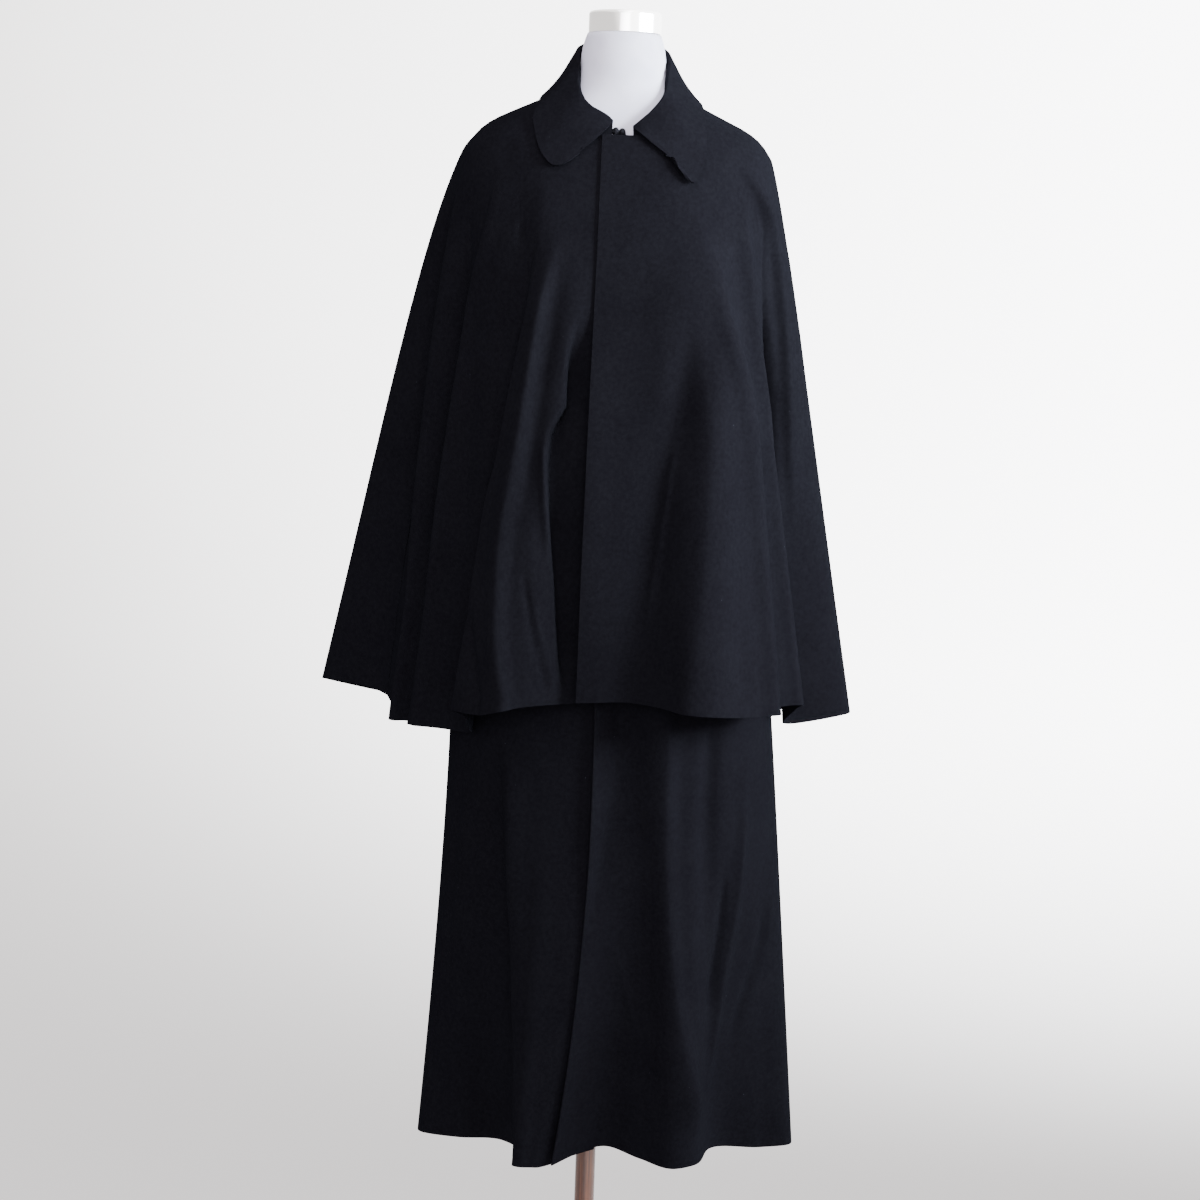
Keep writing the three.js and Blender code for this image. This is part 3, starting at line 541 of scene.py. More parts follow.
@dataclass
class CapeLayer:
    """The cape's outer side: draped on the coat to its folds' roots, and hanging in folds below."""

    coat: CoatLayer
    layer_gap: float = 1.2
    hang_gap: float = 5.5
    away: float = 3.2
    edge_x: float = -24.0
    edge_depth: float = 8.0
    ridge_angle: float = 24.0
    bow_curve: float = 0.45
    hang_onset: float = 50.0
    yoke_lines: int = 28
    hang_lines: int = 66
    fold: TableCurve = field(default_factory=lambda: TableCurve(CAPE_FOLDS, "angle"))

    @property
    def cloth(self) -> float:
        """The thickness of the cape's cloth, which is the coat's."""
        return self.coat.cloth

    def gap(self, z: Array) -> Array:
        """The gap between the coat and the cape where they lie on the shoulders."""
        return self.layer_gap + self.away * self.coat.hang_share(z)

    def offset(self, angle: Array, z: Array) -> Array:
        """How far the cape's outer side stands off the form."""
        step = self.coat.overlap_step
        below = self.coat.offset(np.full_like(angle, FULL_TURN), z) + step * middle_share(from_front(angle))
        return below + self.gap(z) + self.coat.cloth + step * middle_share(angle)

    def clear_of_coat(self, point: Array, gap: Array | float) -> Array:
        """Pushes points of the cape to where they hang clear of the coat.

        Args:
            point: The points.
            gap: The least gap between the two cloths.

        Returns:
            The points, moved straight out from the pole's axis where they were too near.
        """
        coat = self.coat
        radius = np.hypot(point[..., 0], point[..., 1])
        turn = np.degrees(np.arctan2(point[..., 0], -point[..., 1]))
        bearing = np.mod(turn, FULL_TURN)
        under_lap = np.where(turn < 0, coat.overlap_step * middle_share(-turn), 0)
        asked = coat.height_for(bearing, point[..., 2])
        wall = coat.point(bearing, asked)
        rise = outwards(coat.point, bearing, asked)[..., 2]
        least = np.hypot(wall[..., 0], wall[..., 1]) + under_lap + (gap + coat.cloth) / np.sqrt(1 - rise**2)
        share = np.maximum(radius, least) / radius
        return point * np.stack([share, share, np.ones_like(share)], -1)

    def point(self, angle: Array, z: Array) -> Array:
        """Points of the cape's outer side."""
        angle, z = np.broadcast_arrays(np.asarray(angle, float), np.asarray(z, float))
        fold = self.fold(angle)
        high = np.maximum(z, fold["root"])
        root = self.coat.form.draped(angle, high, self.offset(angle, high))
        share = np.clip((fold["root"] - z) / (fold["root"] - fold["z"]), 0, None)
        point = blend(root, np.stack([fold["x"], fold["y"], fold["z"]], -1), share)
        outward = unit(point * np.array([1, 1, 0]))
        point = point + outward * (fold["bulge"] * np.sin(math.pi * share**self.bow_curve))[..., None]
        near = self.gap(z)
        hang_share = smoothstep(fold["root"] - z, 0, self.hang_onset)
        hanging = self.clear_of_coat(point, near + (self.hang_gap - near) * hang_share)
        return np.where((z >= fold["root"])[..., None], root, hanging)

    def heights(self, angle: Array) -> Array:
        """The heights of the sheet's cross lines at each column, from the neck seam down."""
        form = self.coat.form
        chest = form.chest_z + 0 * angle
        yoke = heights_between(form.neck_z(angle), chest, self.yoke_lines)
        hang = heights_between(chest, self.fold(angle)["z"], self.hang_lines)[1:]
        return np.concatenate([yoke, hang])

    def shifted(self, angle: Array, z: Array, side: Array) -> Array:
        """Turns the columns beside the upper front edge so that the edge hangs straight down."""
        start = CAPE_FOLDS[0].angle
        nearness = np.clip((self.ridge_angle - angle) / (self.ridge_angle - start), 0, 1)
        chest_z = self.coat.form.chest_z
        depth = self.coat.form.section(np.maximum(z, chest_z))["front"] + self.edge_depth
        straight = np.degrees(np.arctan2(self.edge_x, depth))
        hold = np.where(z > chest_z, 1, smoothstep(z, self.coat.hip_z, chest_z))
        return angle + nearness * (straight - start) * hold + 0 * side


def heights_between(top: Array, foot: Array, steps: int) -> Array:
    """Heights in even steps, one row of the result for each."""
    shares = np.linspace(0, 1, steps + 1)[:, None]
    return top[None, :] + (foot - top)[None, :] * shares


def smoothed(points: Array, passes: int, hold_z: tuple[float, float]) -> Array:
    """Smooths a sheet along its columns, and lightly along its lines.

    Args:
        points: The sheet, as points[line][column].
        passes: How many times each line is drawn towards its neighbours.
        hold_z: The heights from which it fades out and is left as it is.

    Returns:
        The smoothed sheet.
    """
    share = PULL_DOWN * (1 - smoothstep(points[1:-1, :, 2], *hold_z))[..., None]
    soft = points.copy()
    for _ in range(passes):
        soft[1:-1] += share * (soft[:-2] - 2 * soft[1:-1] + soft[2:])
        soft[:, 1:-1] += PULL_ACROSS * (soft[:, :-2] - 2 * soft[:, 1:-1] + soft[:, 2:])
    return soft


def grid_normals(points: Array) -> Array:
    """The outward direction at each point of a sheet given as points[line][column]."""
    return unit(np.cross(np.gradient(points, axis=0), np.gradient(points, axis=1)))


def crease_offset(crease: Crease, angle: Array, points: Array) -> Array:
    """How far a crease moves each point of a sheet outwards.

    Args:
        crease: The crease.
        angle: The columns' angles, for each point.
        points: The points of the sheet, as points[line][column].

    Returns:
        The distances in millimetres.
    """
    z = points[..., 2]
    places, heights = np.array(crease.path[::-1], float).T
    spacing = np.linalg.norm(np.gradient(points, axis=1), axis=-1) / np.gradient(angle, axis=1)
    across = (angle - np.interp(z, heights, places)) * spacing
    width = np.where(across < 0, crease.widths[0], crease.widths[1])
    top, foot = heights[-1], heights[0]
    upper, lower = (share * (top - foot) for share in crease.fade)
    ends = np.ones_like(z)
    if upper > 0:
        ends = ends * (1 - smoothstep(z, top - upper, top))
    if lower > 0:
        ends = ends * smoothstep(z, foot, foot + lower)
    return crease.height * np.exp(-((across / width) ** 2)) * ends


def mesh_object(name: str, mesh: bmesh.types.BMesh, material: bpy.types.Material) -> bpy.types.Object:
    """Makes a smooth-shaded object of a bmesh given in millimetres.

    Args:
        name: The piece's name.
        mesh: Its bmesh, which is freed.
        material: Its finish.

    Returns:
        The object, linked to the scene.
    """
    bmesh.ops.scale(mesh, vec=(MM, MM, MM), verts=mesh.verts)
    data = bpy.data.meshes.new(name)
    for face in mesh.faces:
        face.smooth = True
    mesh.to_mesh(data)
    mesh.free()
    data.materials.append(material)
    made = bpy.data.objects.new(name, data)
    bpy.context.scene.collection.objects.link(made)
    return made


def shaped_grid(points: Array) -> bmesh.types.BMesh:
    """A grid shaped to points[line][column].

    Args:
        points: The points in millimetres, the first line uppermost and the columns turning
            from the front towards +X, so that the faces come to look outwards.

    Returns:
        The bmesh.
    """
    lines, columns = points.shape[:2]
    mesh = bmesh.new()
    bmesh.ops.create_grid(mesh, x_segments=columns - 1, y_segments=lines - 1, size=1)
    for vertex in mesh.verts:
        i = round((vertex.co.x + 1) / 2 * (columns - 1))
        j = round((1 - vertex.co.y) / 2 * (lines - 1))
        vertex.co = points[j, i]
    mesh.normal_update()
    return mesh


def close_mesh(mesh: bmesh.types.BMesh, seam: float) -> None:
    """Joins points nearer than seam millimetres, fills open ends and turns the faces outwards."""
    bmesh.ops.remove_doubles(mesh, verts=mesh.verts, dist=seam)
    bmesh.ops.holes_fill(mesh, edges=[edge for edge in mesh.edges if edge.is_boundary], sides=0)
    bmesh.ops.recalc_face_normals(mesh, faces=mesh.faces)


def soften_edges(made: bpy.types.Object, angle: float, width: float) -> None:
    """Rounds an object's edges where they turn by more than an angle, by a width in millimetres."""
    rim = made.modifiers.new("soft edges", "BEVEL")
    rim.limit_method = "ANGLE"
    rim.angle_limit = math.radians(angle)
    rim.width = width * MM
    rim.segments = 2
    rim.harden_normals = True


def cloth_object(
    name: str, points: Array, thickness: float, material: bpy.types.Material
) -> bpy.types.Object:
    """A sheet of cloth: its outer side is given, and its thickness goes inwards.

    Args:
        name: The piece's name.
        points: The outer side, as points[line][column].
        thickness: The cloth's thickness in millimetres.
        material: Its finish.

    Returns:
        The object, with live thickness and softened edges.
    """
    made = mesh_object(name, shaped_grid(points), material)
    wall = made.modifiers.new("thickness", "SOLIDIFY")
    wall.thickness = thickness * MM
    wall.offset = -1
    wall.use_rim = True
    soften_edges(made, angle=60, width=0.28 * thickness)
    return made


def put_in_place(made: bpy.types.Object, node: str) -> None:
    """Puts a piece in its node's place on the root body, and logs it."""
    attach(made, "root")
    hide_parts(node)
    log.info("%s: %d faces", made.name, len(made.data.polygons))


def set_inputs(node: bpy.types.Node, inputs: dict) -> None:
    """Sets a node's inputs, by name or number, to values, or links sockets to them."""
    for key, value in inputs.items():
        if isinstance(value, Socket):
            node.id_data.links.new(value, node.inputs[key])
        else:
            node.inputs[key].default_value = value


def add_node(tree: Tree, kind: str, inputs: dict | None = None, **settings: object) -> bpy.types.Node:
    """Adds a node to a tree.

    Args:
        tree: The tree.
        kind: The node's type.
        inputs: Values or sockets for its inputs, by their names or numbers.
        **settings: The node's own properties.

    Returns:
        The node.
    """
    node = tree.nodes.new(kind)
    for name, value in settings.items():
        setattr(node, name, value)
    set_inputs(node, inputs or {})
    return node


def new_material(name: str) -> tuple[bpy.types.Material, Tree, bpy.types.Node, Socket]:
    """A new material with an empty shader.

    Args:
        name: Its name.

    Returns:
        The material, its tree, its Principled shader, and the object's own coordinates in metres.
    """
    material = bpy.data.materials.new(name)
    material.use_nodes = True
    tree = material.node_tree
    place = add_node(tree, "ShaderNodeTexCoord").outputs["Object"]
    return material, tree, tree.nodes["Principled BSDF"], place


def noise(tree: Tree, place: Socket, size: float, detail: float) -> Socket:
    """Noise whose patches are about this size.

    Args:
        tree: The material's tree.
        place: The coordinates to read, in metres.
        size: The patches' size in millimetres.
        detail: How many finer layers it has.

    Returns:
        The noise, from 0 to 1.
    """
    inputs = {"Vector": place, "Scale": 1 / (size * MM), "Detail": detail}
    return add_node(tree, "ShaderNodeTexNoise", inputs).outputs["Fac"]


def ramp(tree: Tree, value: Socket, stops: Sequence[tuple[float, str]]) -> Socket:
    """A colour ramp.

    Args:
        tree: The material's tree.
        value: What it is read by.
        stops: Each stop's place and its sRGB hex colour.

    Returns:
        The colour.
    """
    node = add_node(tree, "ShaderNodeValToRGB", {"Fac": value})
    elements = node.color_ramp.elements
    while len(elements) < len(stops):
        elements.new(0.5)
    for element, (place, code) in zip(elements, stops):
        element.position = place
        element.color = linear(code)
    return node.outputs["Color"]


def map_range(
    tree: Tree, value: Socket, source: Sequence, target: Sequence = (0.0, 1.0), kind: str = "LINEAR"
) -> Socket:
    """Maps a value from one range to another, and holds it at the ends.

    Args:
        tree: The tree.
        value: What is mapped.
        source: The two ends that the value runs between.
        target: What they become, as numbers or sockets.
        kind: How it runs between them, as Blender names it.

    Returns:
        The mapped value.
    """
    ends = {"From Min": source[0], "From Max": source[1], "To Min": target[0], "To Max": target[1]}
    inputs = {"Value": value, **ends}
    return add_node(tree, "ShaderNodeMapRange", inputs, interpolation_type=kind).outputs["Result"]


def weighted_sum(tree: Tree, first: Socket, weight: float, second: Socket) -> Socket:
    """The first value times its weight, with the second added."""
    inputs = {0: first, 1: weight, 2: second}
    return add_node(tree, "ShaderNodeMath", inputs, operation="MULTIPLY_ADD").outputs["Value"]


def mixed(tree: Tree, share: Socket, first: object, second: object) -> Socket:
    """The first colour where the share is 0, and the second where it is 1."""
    inputs = {"Factor": share, "A": first, "B": second}
    return add_node(tree, "ShaderNodeMix", inputs, data_type="RGBA").outputs["Result"]


def bump(tree: Tree, height: Socket, strength: float, depth: float, **under: Socket) -> Socket:
    """Bump of a depth in millimetres, on the bump given as Normal where there is one."""
    inputs = {"Strength": strength, "Distance": depth * MM, "Height": height, **under}
    return add_node(tree, "ShaderNodeBump", inputs).outputs["Normal"]


@dataclass(frozen=True)
class Wool:
    """Black wool melton: woven, milled and brushed, so it is matt with a faint nap that catches light."""

    name: str = "black_wool_melton"
    dark: str = "0e0d10"
    light: str = "18181b"
    lint: str = "3c3e44"
    thread: float = 1.1
    thread_share: float = 0.6
    fleck: float = 4.5
    nap_patch: float = 60.0
    nap_share: float = 0.4
    tones: tuple[float, float] = (0.5, 1.5)
    weave_depth: float = 0.35
    crumple: float = 38.0
    crumple_depth: float = 2.2
    lint_spacing: float = 34.0
    lint_size: float = 0.022

    def colour(self, tree: Tree, place: Socket, fine: Socket) -> Socket:
        """Black that varies with the weave and the nap, with a few specks of lint."""
        nap = noise(tree, place, self.nap_patch, 2)
        share = map_range(tree, weighted_sum(tree, nap, self.nap_share, fine), self.tones)
        shade = ramp(tree, share, [(0.0, self.dark), (1.0, self.light)])
        spread = {"Vector": place, "Scale": 1 / (self.lint_spacing * MM)}
        specks = add_node(tree, "ShaderNodeTexVoronoi", spread).outputs["Distance"]
        fluff = ramp(tree, specks, [(0.0, "ffffff"), (self.lint_size, "000000")])
        return mixed(tree, fluff, shade, linear(self.lint))

    def build(self) -> bpy.types.Material:
        """Makes the material."""
        material, tree, shader, place = new_material(self.name)
        flecks = noise(tree, place, self.fleck, 2)
        fine = weighted_sum(tree, noise(tree, place, self.thread, 2), self.thread_share, flecks)
        crumpled = bump(tree, noise(tree, place, self.crumple, 2), 0.5, self.crumple_depth)
        finish = {
            "Base Color": self.colour(tree, place, fine),
            "Normal": bump(tree, fine, 0.4, self.weave_depth, Normal=crumpled),
            "Roughness": 0.9,
            "Specular IOR Level": 0.0,
            "Sheen Weight": 0.008,
            "Sheen Roughness": 0.6,
            "Sheen Tint": linear("aab4c4"),
        }
        set_inputs(shader, finish)
        return material


@dataclass(frozen=True)
class Jersey:
    """White cotton jersey over padding: a fine knit, matt, with a faint blue from its whitener."""

    name: str = "white_cotton_jersey"
    light: str = "ecebf2"
    dark: str = "dddce6"
    patch: float = 45.0
    rib: float = 1.1
    rib_depth: float = 0.2

    def build(self) -> bpy.types.Material:
        """Makes the material."""
        material, tree, shader, place = new_material(self.name)
        soft = noise(tree, place, self.patch, 2)
        finish = {
            "Base Color": ramp(tree, soft, [(0.3, self.dark), (0.6, self.light)]),
            "Normal": bump(tree, noise(tree, place, self.rib, 1), 0.25, self.rib_depth),
            "Roughness": 0.85,
            "Sheen Weight": 0.1,
        }
        set_inputs(shader, finish)
        return material


@dataclass(frozen=True)
class Chrome:
    """Chromed steel, polished: a mirror with faint rings from its turning."""

    name: str = "polished_chrome_steel"
    tint: str = "f0efec"
    ring: float = 0.9
    stretch: float = 0.02
    roughness: tuple[float, float] = (0.1, 0.2)

    def build(self) -> bpy.types.Material:
        """Makes the material."""
        material, tree, shader, place = new_material(self.name)
        turned = {"Vector": place, "Scale": (self.stretch, self.stretch, 1)}
        drawn = add_node(tree, "ShaderNodeMapping", turned).outputs["Vector"]
        rings = noise(tree, drawn, self.ring, 2)
        finish = {
            "Base Color": linear(self.tint),
            "Metallic": 1.0,
            "Roughness": map_range(tree, rings, (0.0, 1.0), self.roughness),
        }
        set_inputs(shader, finish)
        return material


@dataclass(frozen=True)
class Wood:
    """Turned beech, stained brown and varnished: fine long grain under a clear glossy coat."""

    name: str = "stained_varnished_beech"
    dark: str = "3a1c0c"
    light: str = "6e3f22"
    grain: float = 2.2
    length: float = 90.0

    def build(self) -> bpy.types.Material:
        """Makes the material."""
        material, tree, shader, place = new_material(self.name)
        along = {"Vector": place, "Scale": (1, 1, self.grain / self.length)}
        drawn = add_node(tree, "ShaderNodeMapping", along).outputs["Vector"]
        lines = noise(tree, drawn, self.grain, 3)
        finish = {
            "Base Color": ramp(tree, lines, [(0.3, self.dark), (0.7, self.light)]),
            "Roughness": 0.35,
            "Coat Weight": 0.2,
            "Coat Roughness": 0.08,
        }
        set_inputs(shader, finish)
        return material


@dataclass(frozen=True)
class DarkWire:
    """Blackened steel wire: dark, with a dull gleam and small wear marks."""

    name: str = "blackened_steel_wire"
    dark: str = "0c0c0e"
    light: str = "1e1e22"
    wear: float = 1.5

    def build(self) -> bpy.types.Material:
        """Makes the material."""
        material, tree, shader, place = new_material(self.name)
        worn = noise(tree, place, self.wear, 2)
        finish = {
            "Base Color": ramp(tree, worn, [(0.4, self.dark), (0.75, self.light)]),
            "Metallic": 1.0,
            "Roughness": 0.6,
        }
        set_inputs(shader, finish)
        return material


@dataclass
class Finishes:
    """The object's materials, made once."""

    wool: bpy.types.Material = field(default_factory=lambda: Wool().build())
    jersey: bpy.types.Material = field(default_factory=lambda: Jersey().build())
    chrome: bpy.types.Material = field(default_factory=lambda: Chrome().build())
    wood: bpy.types.Material = field(default_factory=lambda: Wood().build())
    wire: bpy.types.Material = field(default_factory=lambda: DarkWire().build())


class Cut(NamedTuple):
    """A panel's ends by angle, and the flat size and area that it was cut to, in metres."""

    node: str
    start: float
    end: float
    flat: tuple[float, float]
    area: float


COAT_CUTS = (
    Cut("coat_front_left", -9, 90, (0.5, 1.32), 0.351),
    Cut("coat_back", 90, 270, (0.9, 1.3), 0.625),
    Cut("coat_front_right", 270, 369, (0.5, 1.32), 0.331),
)

CAPE_CUTS = (
    Cut("cape_front_left", -12, 90, (0.6, 0.8), 0.291),
    Cut("cape_back_left", 90, 180, (0.6, 0.8), 0.265),
    Cut("cape_back_right", 180, 270, (0.6, 0.8), 0.298),
    Cut("cape_front_right", 270, 366, (0.6, 0.8), 0.298),
)

# On the front these follow the creases that the photograph shows. At the sides and back they are chosen.
CAPE_CREASES = (
    Crease(12, (10, 45), (0.35, 0.35), ((-12, 1250), (-12, 800))),
    Crease(-13, (20, 34), (0.3, 0), (
        (36, 1268), (31.9, 1208), (27, 1152), (21.4, 1105), (16, 1051), (12, 990), (9.5, 936), (5.8, 874),
        (2, 804),
    )),
    Crease(12, (20, 55), (0.3, 0), (
        (37, 1270), (35, 1201), (34, 1145), (34, 1097), (31.8, 1026), (30, 970), (28, 915), (26, 860),
        (23, 798),
    )),
    Crease(2.5, (5, 5), (0.3, 0.2), ((24, 1105), (18.8, 1051), (14.8, 990), (12, 936), (8.3, 874))),
    Crease(10, (18, 5), (0.3, 0), (
        (47, 1327), (46.3, 1294), (44, 1232), (45, 1192), (46.6, 1151), (47.5, 1100), (47, 968),
        (45.5, 855), (44, 793),
    )),
    Crease(-14, (5, 16), (0.3, 0), ((52, 1200), (52, 1100), (52, 968), (50.5, 855), (49, 793))),
    Crease(7, (14, 5), (0.2, 0), (
        (65.5, 1392), (62, 1339), (61.8, 1306), (62, 1269), (63.6, 1221), (66, 1176), (68, 1130),
        (66, 1085), (66, 810),
    )),
    Crease(-29, (6, 12), (0.12, 0.4), (
        (68.3, 1379), (67.2, 1339), (68.2, 1305), (70.5, 1259), (74, 1200), (75, 1142), (74, 1083),
        (71, 900), (71, 800),
    )),
    Crease(8, (8, 20), (0.15, 0.4), (
        (65.5, 1431), (68.5, 1412), (71, 1386), (74.9, 1360), (81.2, 1305), (82.6, 1215), (82, 1067),
        (83, 950),
    )),
    Crease(-7, (14, 12), (0.3, 0), ((106, 1300), (108, 1100), (107, 760))),
    Crease(5, (10, 16), (0.25, 0), ((120, 1330), (122, 1100), (121, 760))),
    Crease(-9, (20, 14), (0.3, 0), ((137, 1250), (138, 1050), (139, 760))),
    Crease(4, (12, 9), (0.3, 0), ((150, 1290), (151, 1000), (150, 760))),
    Crease(-8, (10, 14), (0.35, 0), ((163, 1200), (161, 1000), (162, 760))),
    Crease(-7, (14, 10), (0.3, 0), ((187, 1260), (186, 1000), (187, 760))),
    Crease(4, (8, 12), (0.3, 0), ((197, 1180), (199, 1000), (198, 760))),
    Crease(-9, (12, 18), (0.3, 0), ((209, 1290), (211, 1050), (210, 760))),
    Crease(5, (14, 9), (0.25, 0), ((223, 1330), (221, 1100), (223, 760))),
    Crease(-8, (16, 12), (0.3, 0), ((236, 1310), (233, 1050), (234, 760))),
    Crease(-20, (26, 5), (0.2, 0), (
        (272, 1401), (273, 1352), (274, 1302), (273.5, 1186), (274.5, 1066), (275, 1007), (277, 886),
        (276.5, 776),
    )),
    Crease(5, (5, 14), (0.2, 0), (
        (274.5, 1401), (276.5, 1302), (276, 1186), (277, 1066), (277.5, 1007), (279.5, 886), (279, 776),
    )),
    Crease(-20, (24, 5), (0.15, 0), (
        (294, 1403), (295, 1343), (294, 1308), (288.5, 1244), (289, 1127), (290, 1030), (292.5, 894),
        (293.5, 783),
    )),
    Crease(5, (5, 14), (0.15, 0), (
        (297, 1403), (298, 1343), (297, 1308), (291.5, 1244), (292, 1127), (293, 1030), (295, 894),
        (296, 783),
    )),
    Crease(-20, (30, 6), (0.3, 0), (
        (317.5, 1349), (319.5, 1294), (320, 1247), (319, 1158), (318.5, 1062), (315.5, 1010), (316.5, 900),
        (317, 778),
    )),
    Crease(-4, (5, 5), (0.2, 0.3), ((310, 1346), (313.7, 1308), (318, 1255))),
    Crease(12, (16, 10), (0.2, 0), (
        (328.4, 1340), (328.6, 1240), (329, 1086), (328.3, 997), (329, 948), (332, 861), (335, 815),
        (337, 793),
    )),
    Crease(-5, (6, 16), (0.25, 0.25), (
        (331.2, 1294), (331.7, 1200), (332.2, 1127), (334.2, 1040), (335, 983),
    )),
    Crease(-20, (5, 26), (0.2, 0.15), (
        (346.5, 1239), (344.7, 1215), (344.5, 1184), (346.5, 1128), (343.7, 1112), (341.5, 1096),
        (342, 1065), (344.5, 1018), (348.5, 931), (350, 885), (353, 791),
    )),
    Crease(4, (4, 4), (0.3, 0.4), (
        (336.9, 1095), (338.9, 1064), (341.2, 1018), (343.7, 974), (345.3, 931),
    )),
    Crease(-3.5, (4, 4), (0.3, 0.1), ((336, 951), (340, 906), (343, 868), (345.7, 838), (348.2, 799))),
    Crease(3, (4, 6), (0.3, 0.1), ((341, 907), (344, 869), (346, 845), (348.5, 815), (350, 791))),
    Crease(-6, (8, 6), (0.3, 0), ((320, 900), (323.9, 852), (326.5, 819), (328.7, 786))),
)

COAT_CREASES = (
    Crease(8, (8, 9), (0.3, 0.4), ((-9, 900), (-9, 480))),
    Crease(-9, (9, 26), (0.3, 0.3), ((6, 900), (5, 768), (4, 667), (1, 600), (-3, 540), (-6.5, 480))),
    Crease(-4, (25, 25), (0.25, 0.3), (
        (12, 900), (13.6, 744), (16.7, 673), (19, 610), (22, 553), (25, 488), (28, 431), (32, 309),
    )),
    Crease(12, (30, 13), (0.2, 0.1), (
        (28, 900), (29, 744), (29.3, 671), (30, 615), (31.2, 552), (32.8, 494), (35, 431), (38, 375),
        (42.5, 304), (44, 256),
    )),
    Crease(-5, (12, 12), (0.3, 0.4), ((50, 900), (50, 740), (50, 560), (49, 480))),
    Crease(5, (8, 7), (0.3, 0.2), (
        (66.2, 720), (66, 646), (64.3, 570), (61.9, 511), (58, 448), (56.2, 400), (53.7, 353), (50.9, 289),
    )),
    Crease(-5, (8, 5), (0.3, 0.3), ((59, 600), (57.5, 521), (55, 472), (52.7, 424), (49, 392))),
    Crease(-5, (6, 8), (0.3, 0.3), (
        (76, 560), (75.5, 518), (74.2, 494), (69, 446), (64, 399), (60.2, 352),
    )),
    Crease(1.2, (3, 4), (0.2, 0.3), ((-0.5, 514), (11, 477), (16.8, 428), (22.9, 369))),
    Crease(-5, (8, 14), (0.2, 0), ((119, 720), (117, 500), (120, 228))),
    Crease(-4, (10, 6), (0.25, 0), ((171, 650), (173, 400), (170, 228))),
    Crease(-4, (10, 6), (0.25, 0), ((203, 690), (206, 450), (205, 228))),
    Crease(3, (8, 8), (0.2, 0.3), ((237, 700), (240, 500), (239, 300))),
    Crease(-3, (6, 6), (0.1, 0.3), ((287, 720), (286.6, 655), (284.6, 591), (282.4, 503), (281, 403))),
    Crease(-9, (28, 5), (0.15, 0), (
        (303.5, 740), (305, 663), (306, 599), (306.5, 542), (308.5, 485), (310, 420), (315, 364),
        (317.5, 299), (321.5, 258),
    )),
    Crease(4, (5, 18), (0.15, 0), (
        (308, 736), (309.5, 663), (310, 599), (311, 542), (313, 485), (314.5, 420), (319.5, 364),
        (322, 299), (326, 258),
    )),
)


@dataclass
class Garment:
    """One hanging layer, made into its panels."""

    layer: CoatLayer | CapeLayer
    cuts: tuple[Cut, ...]
    creases: tuple[Crease, ...]
    rests_on: str
    column_step: float = 0.75
    seam_gap: float = 0.3
    seams: tuple[float, ...] = (*SIDE_SEAMS, 180.0)
    passes: int = 18
    hold_z: tuple[float, float] = (1390.0, 1425.0)
    least_gap: float = 1.0

    def panel_points(self, cut: Cut) -> Array:
        """The outer side of one panel, with its creases.

        Args:
            cut: The panel.

        Returns:
            The points, as points[line][column].
        """
        layer = self.layer
        columns = round((cut.end - cut.start) / self.column_step) + 1
        angle = np.linspace(cut.start, cut.end, columns)
        side = np.zeros(columns)
        side[0], side[-1] = 1, -1
        z = layer.heights(angle)
        angle = np.broadcast_to(angle, z.shape)
        place = layer.shifted(angle, z, np.broadcast_to(side, z.shape))
        points = layer.point(place, z)
        for i in (0, -1):
            if angle[0, i] in self.seams:
                along = unit(layer.point(place[:, i] + side[i], z[:, i]) - points[:, i])
                points[:, i] += along * self.seam_gap / 2
        if isinstance(layer, CapeLayer):
            points = smoothed(points, self.passes, self.hold_z)
        offset = sum(crease_offset(crease, angle, points) for crease in self.creases)
        # A front that lies under the other follows the troughs that the upper one has there.
        over = sum(crease_offset(crease, angle - FULL_TURN, points) for crease in self.creases)
        offset = offset + np.minimum(over, 0)
        points = points + grid_normals(points) * offset[..., None]
        if isinstance(layer, CapeLayer):
            hanging = layer.clear_of_coat(points, self.least_gap)
            points = np.where(points[..., 2:] > self.hold_z[0], points, hanging)
        return points

    def build(self, wool: bpy.types.Material) -> list[bpy.types.Object]:
        """Makes every panel, and puts each in its node's place.

        Args:
            wool: The cloth's finish.

        Returns:
            The panels.
        """
        made = []
        for cut in self.cuts:
            panel = cloth_object(f"{cut.node}_cloth", self.panel_points(cut), self.layer.cloth, wool)
            put_in_place(panel, cut.node)
            made.append(panel)
        return made


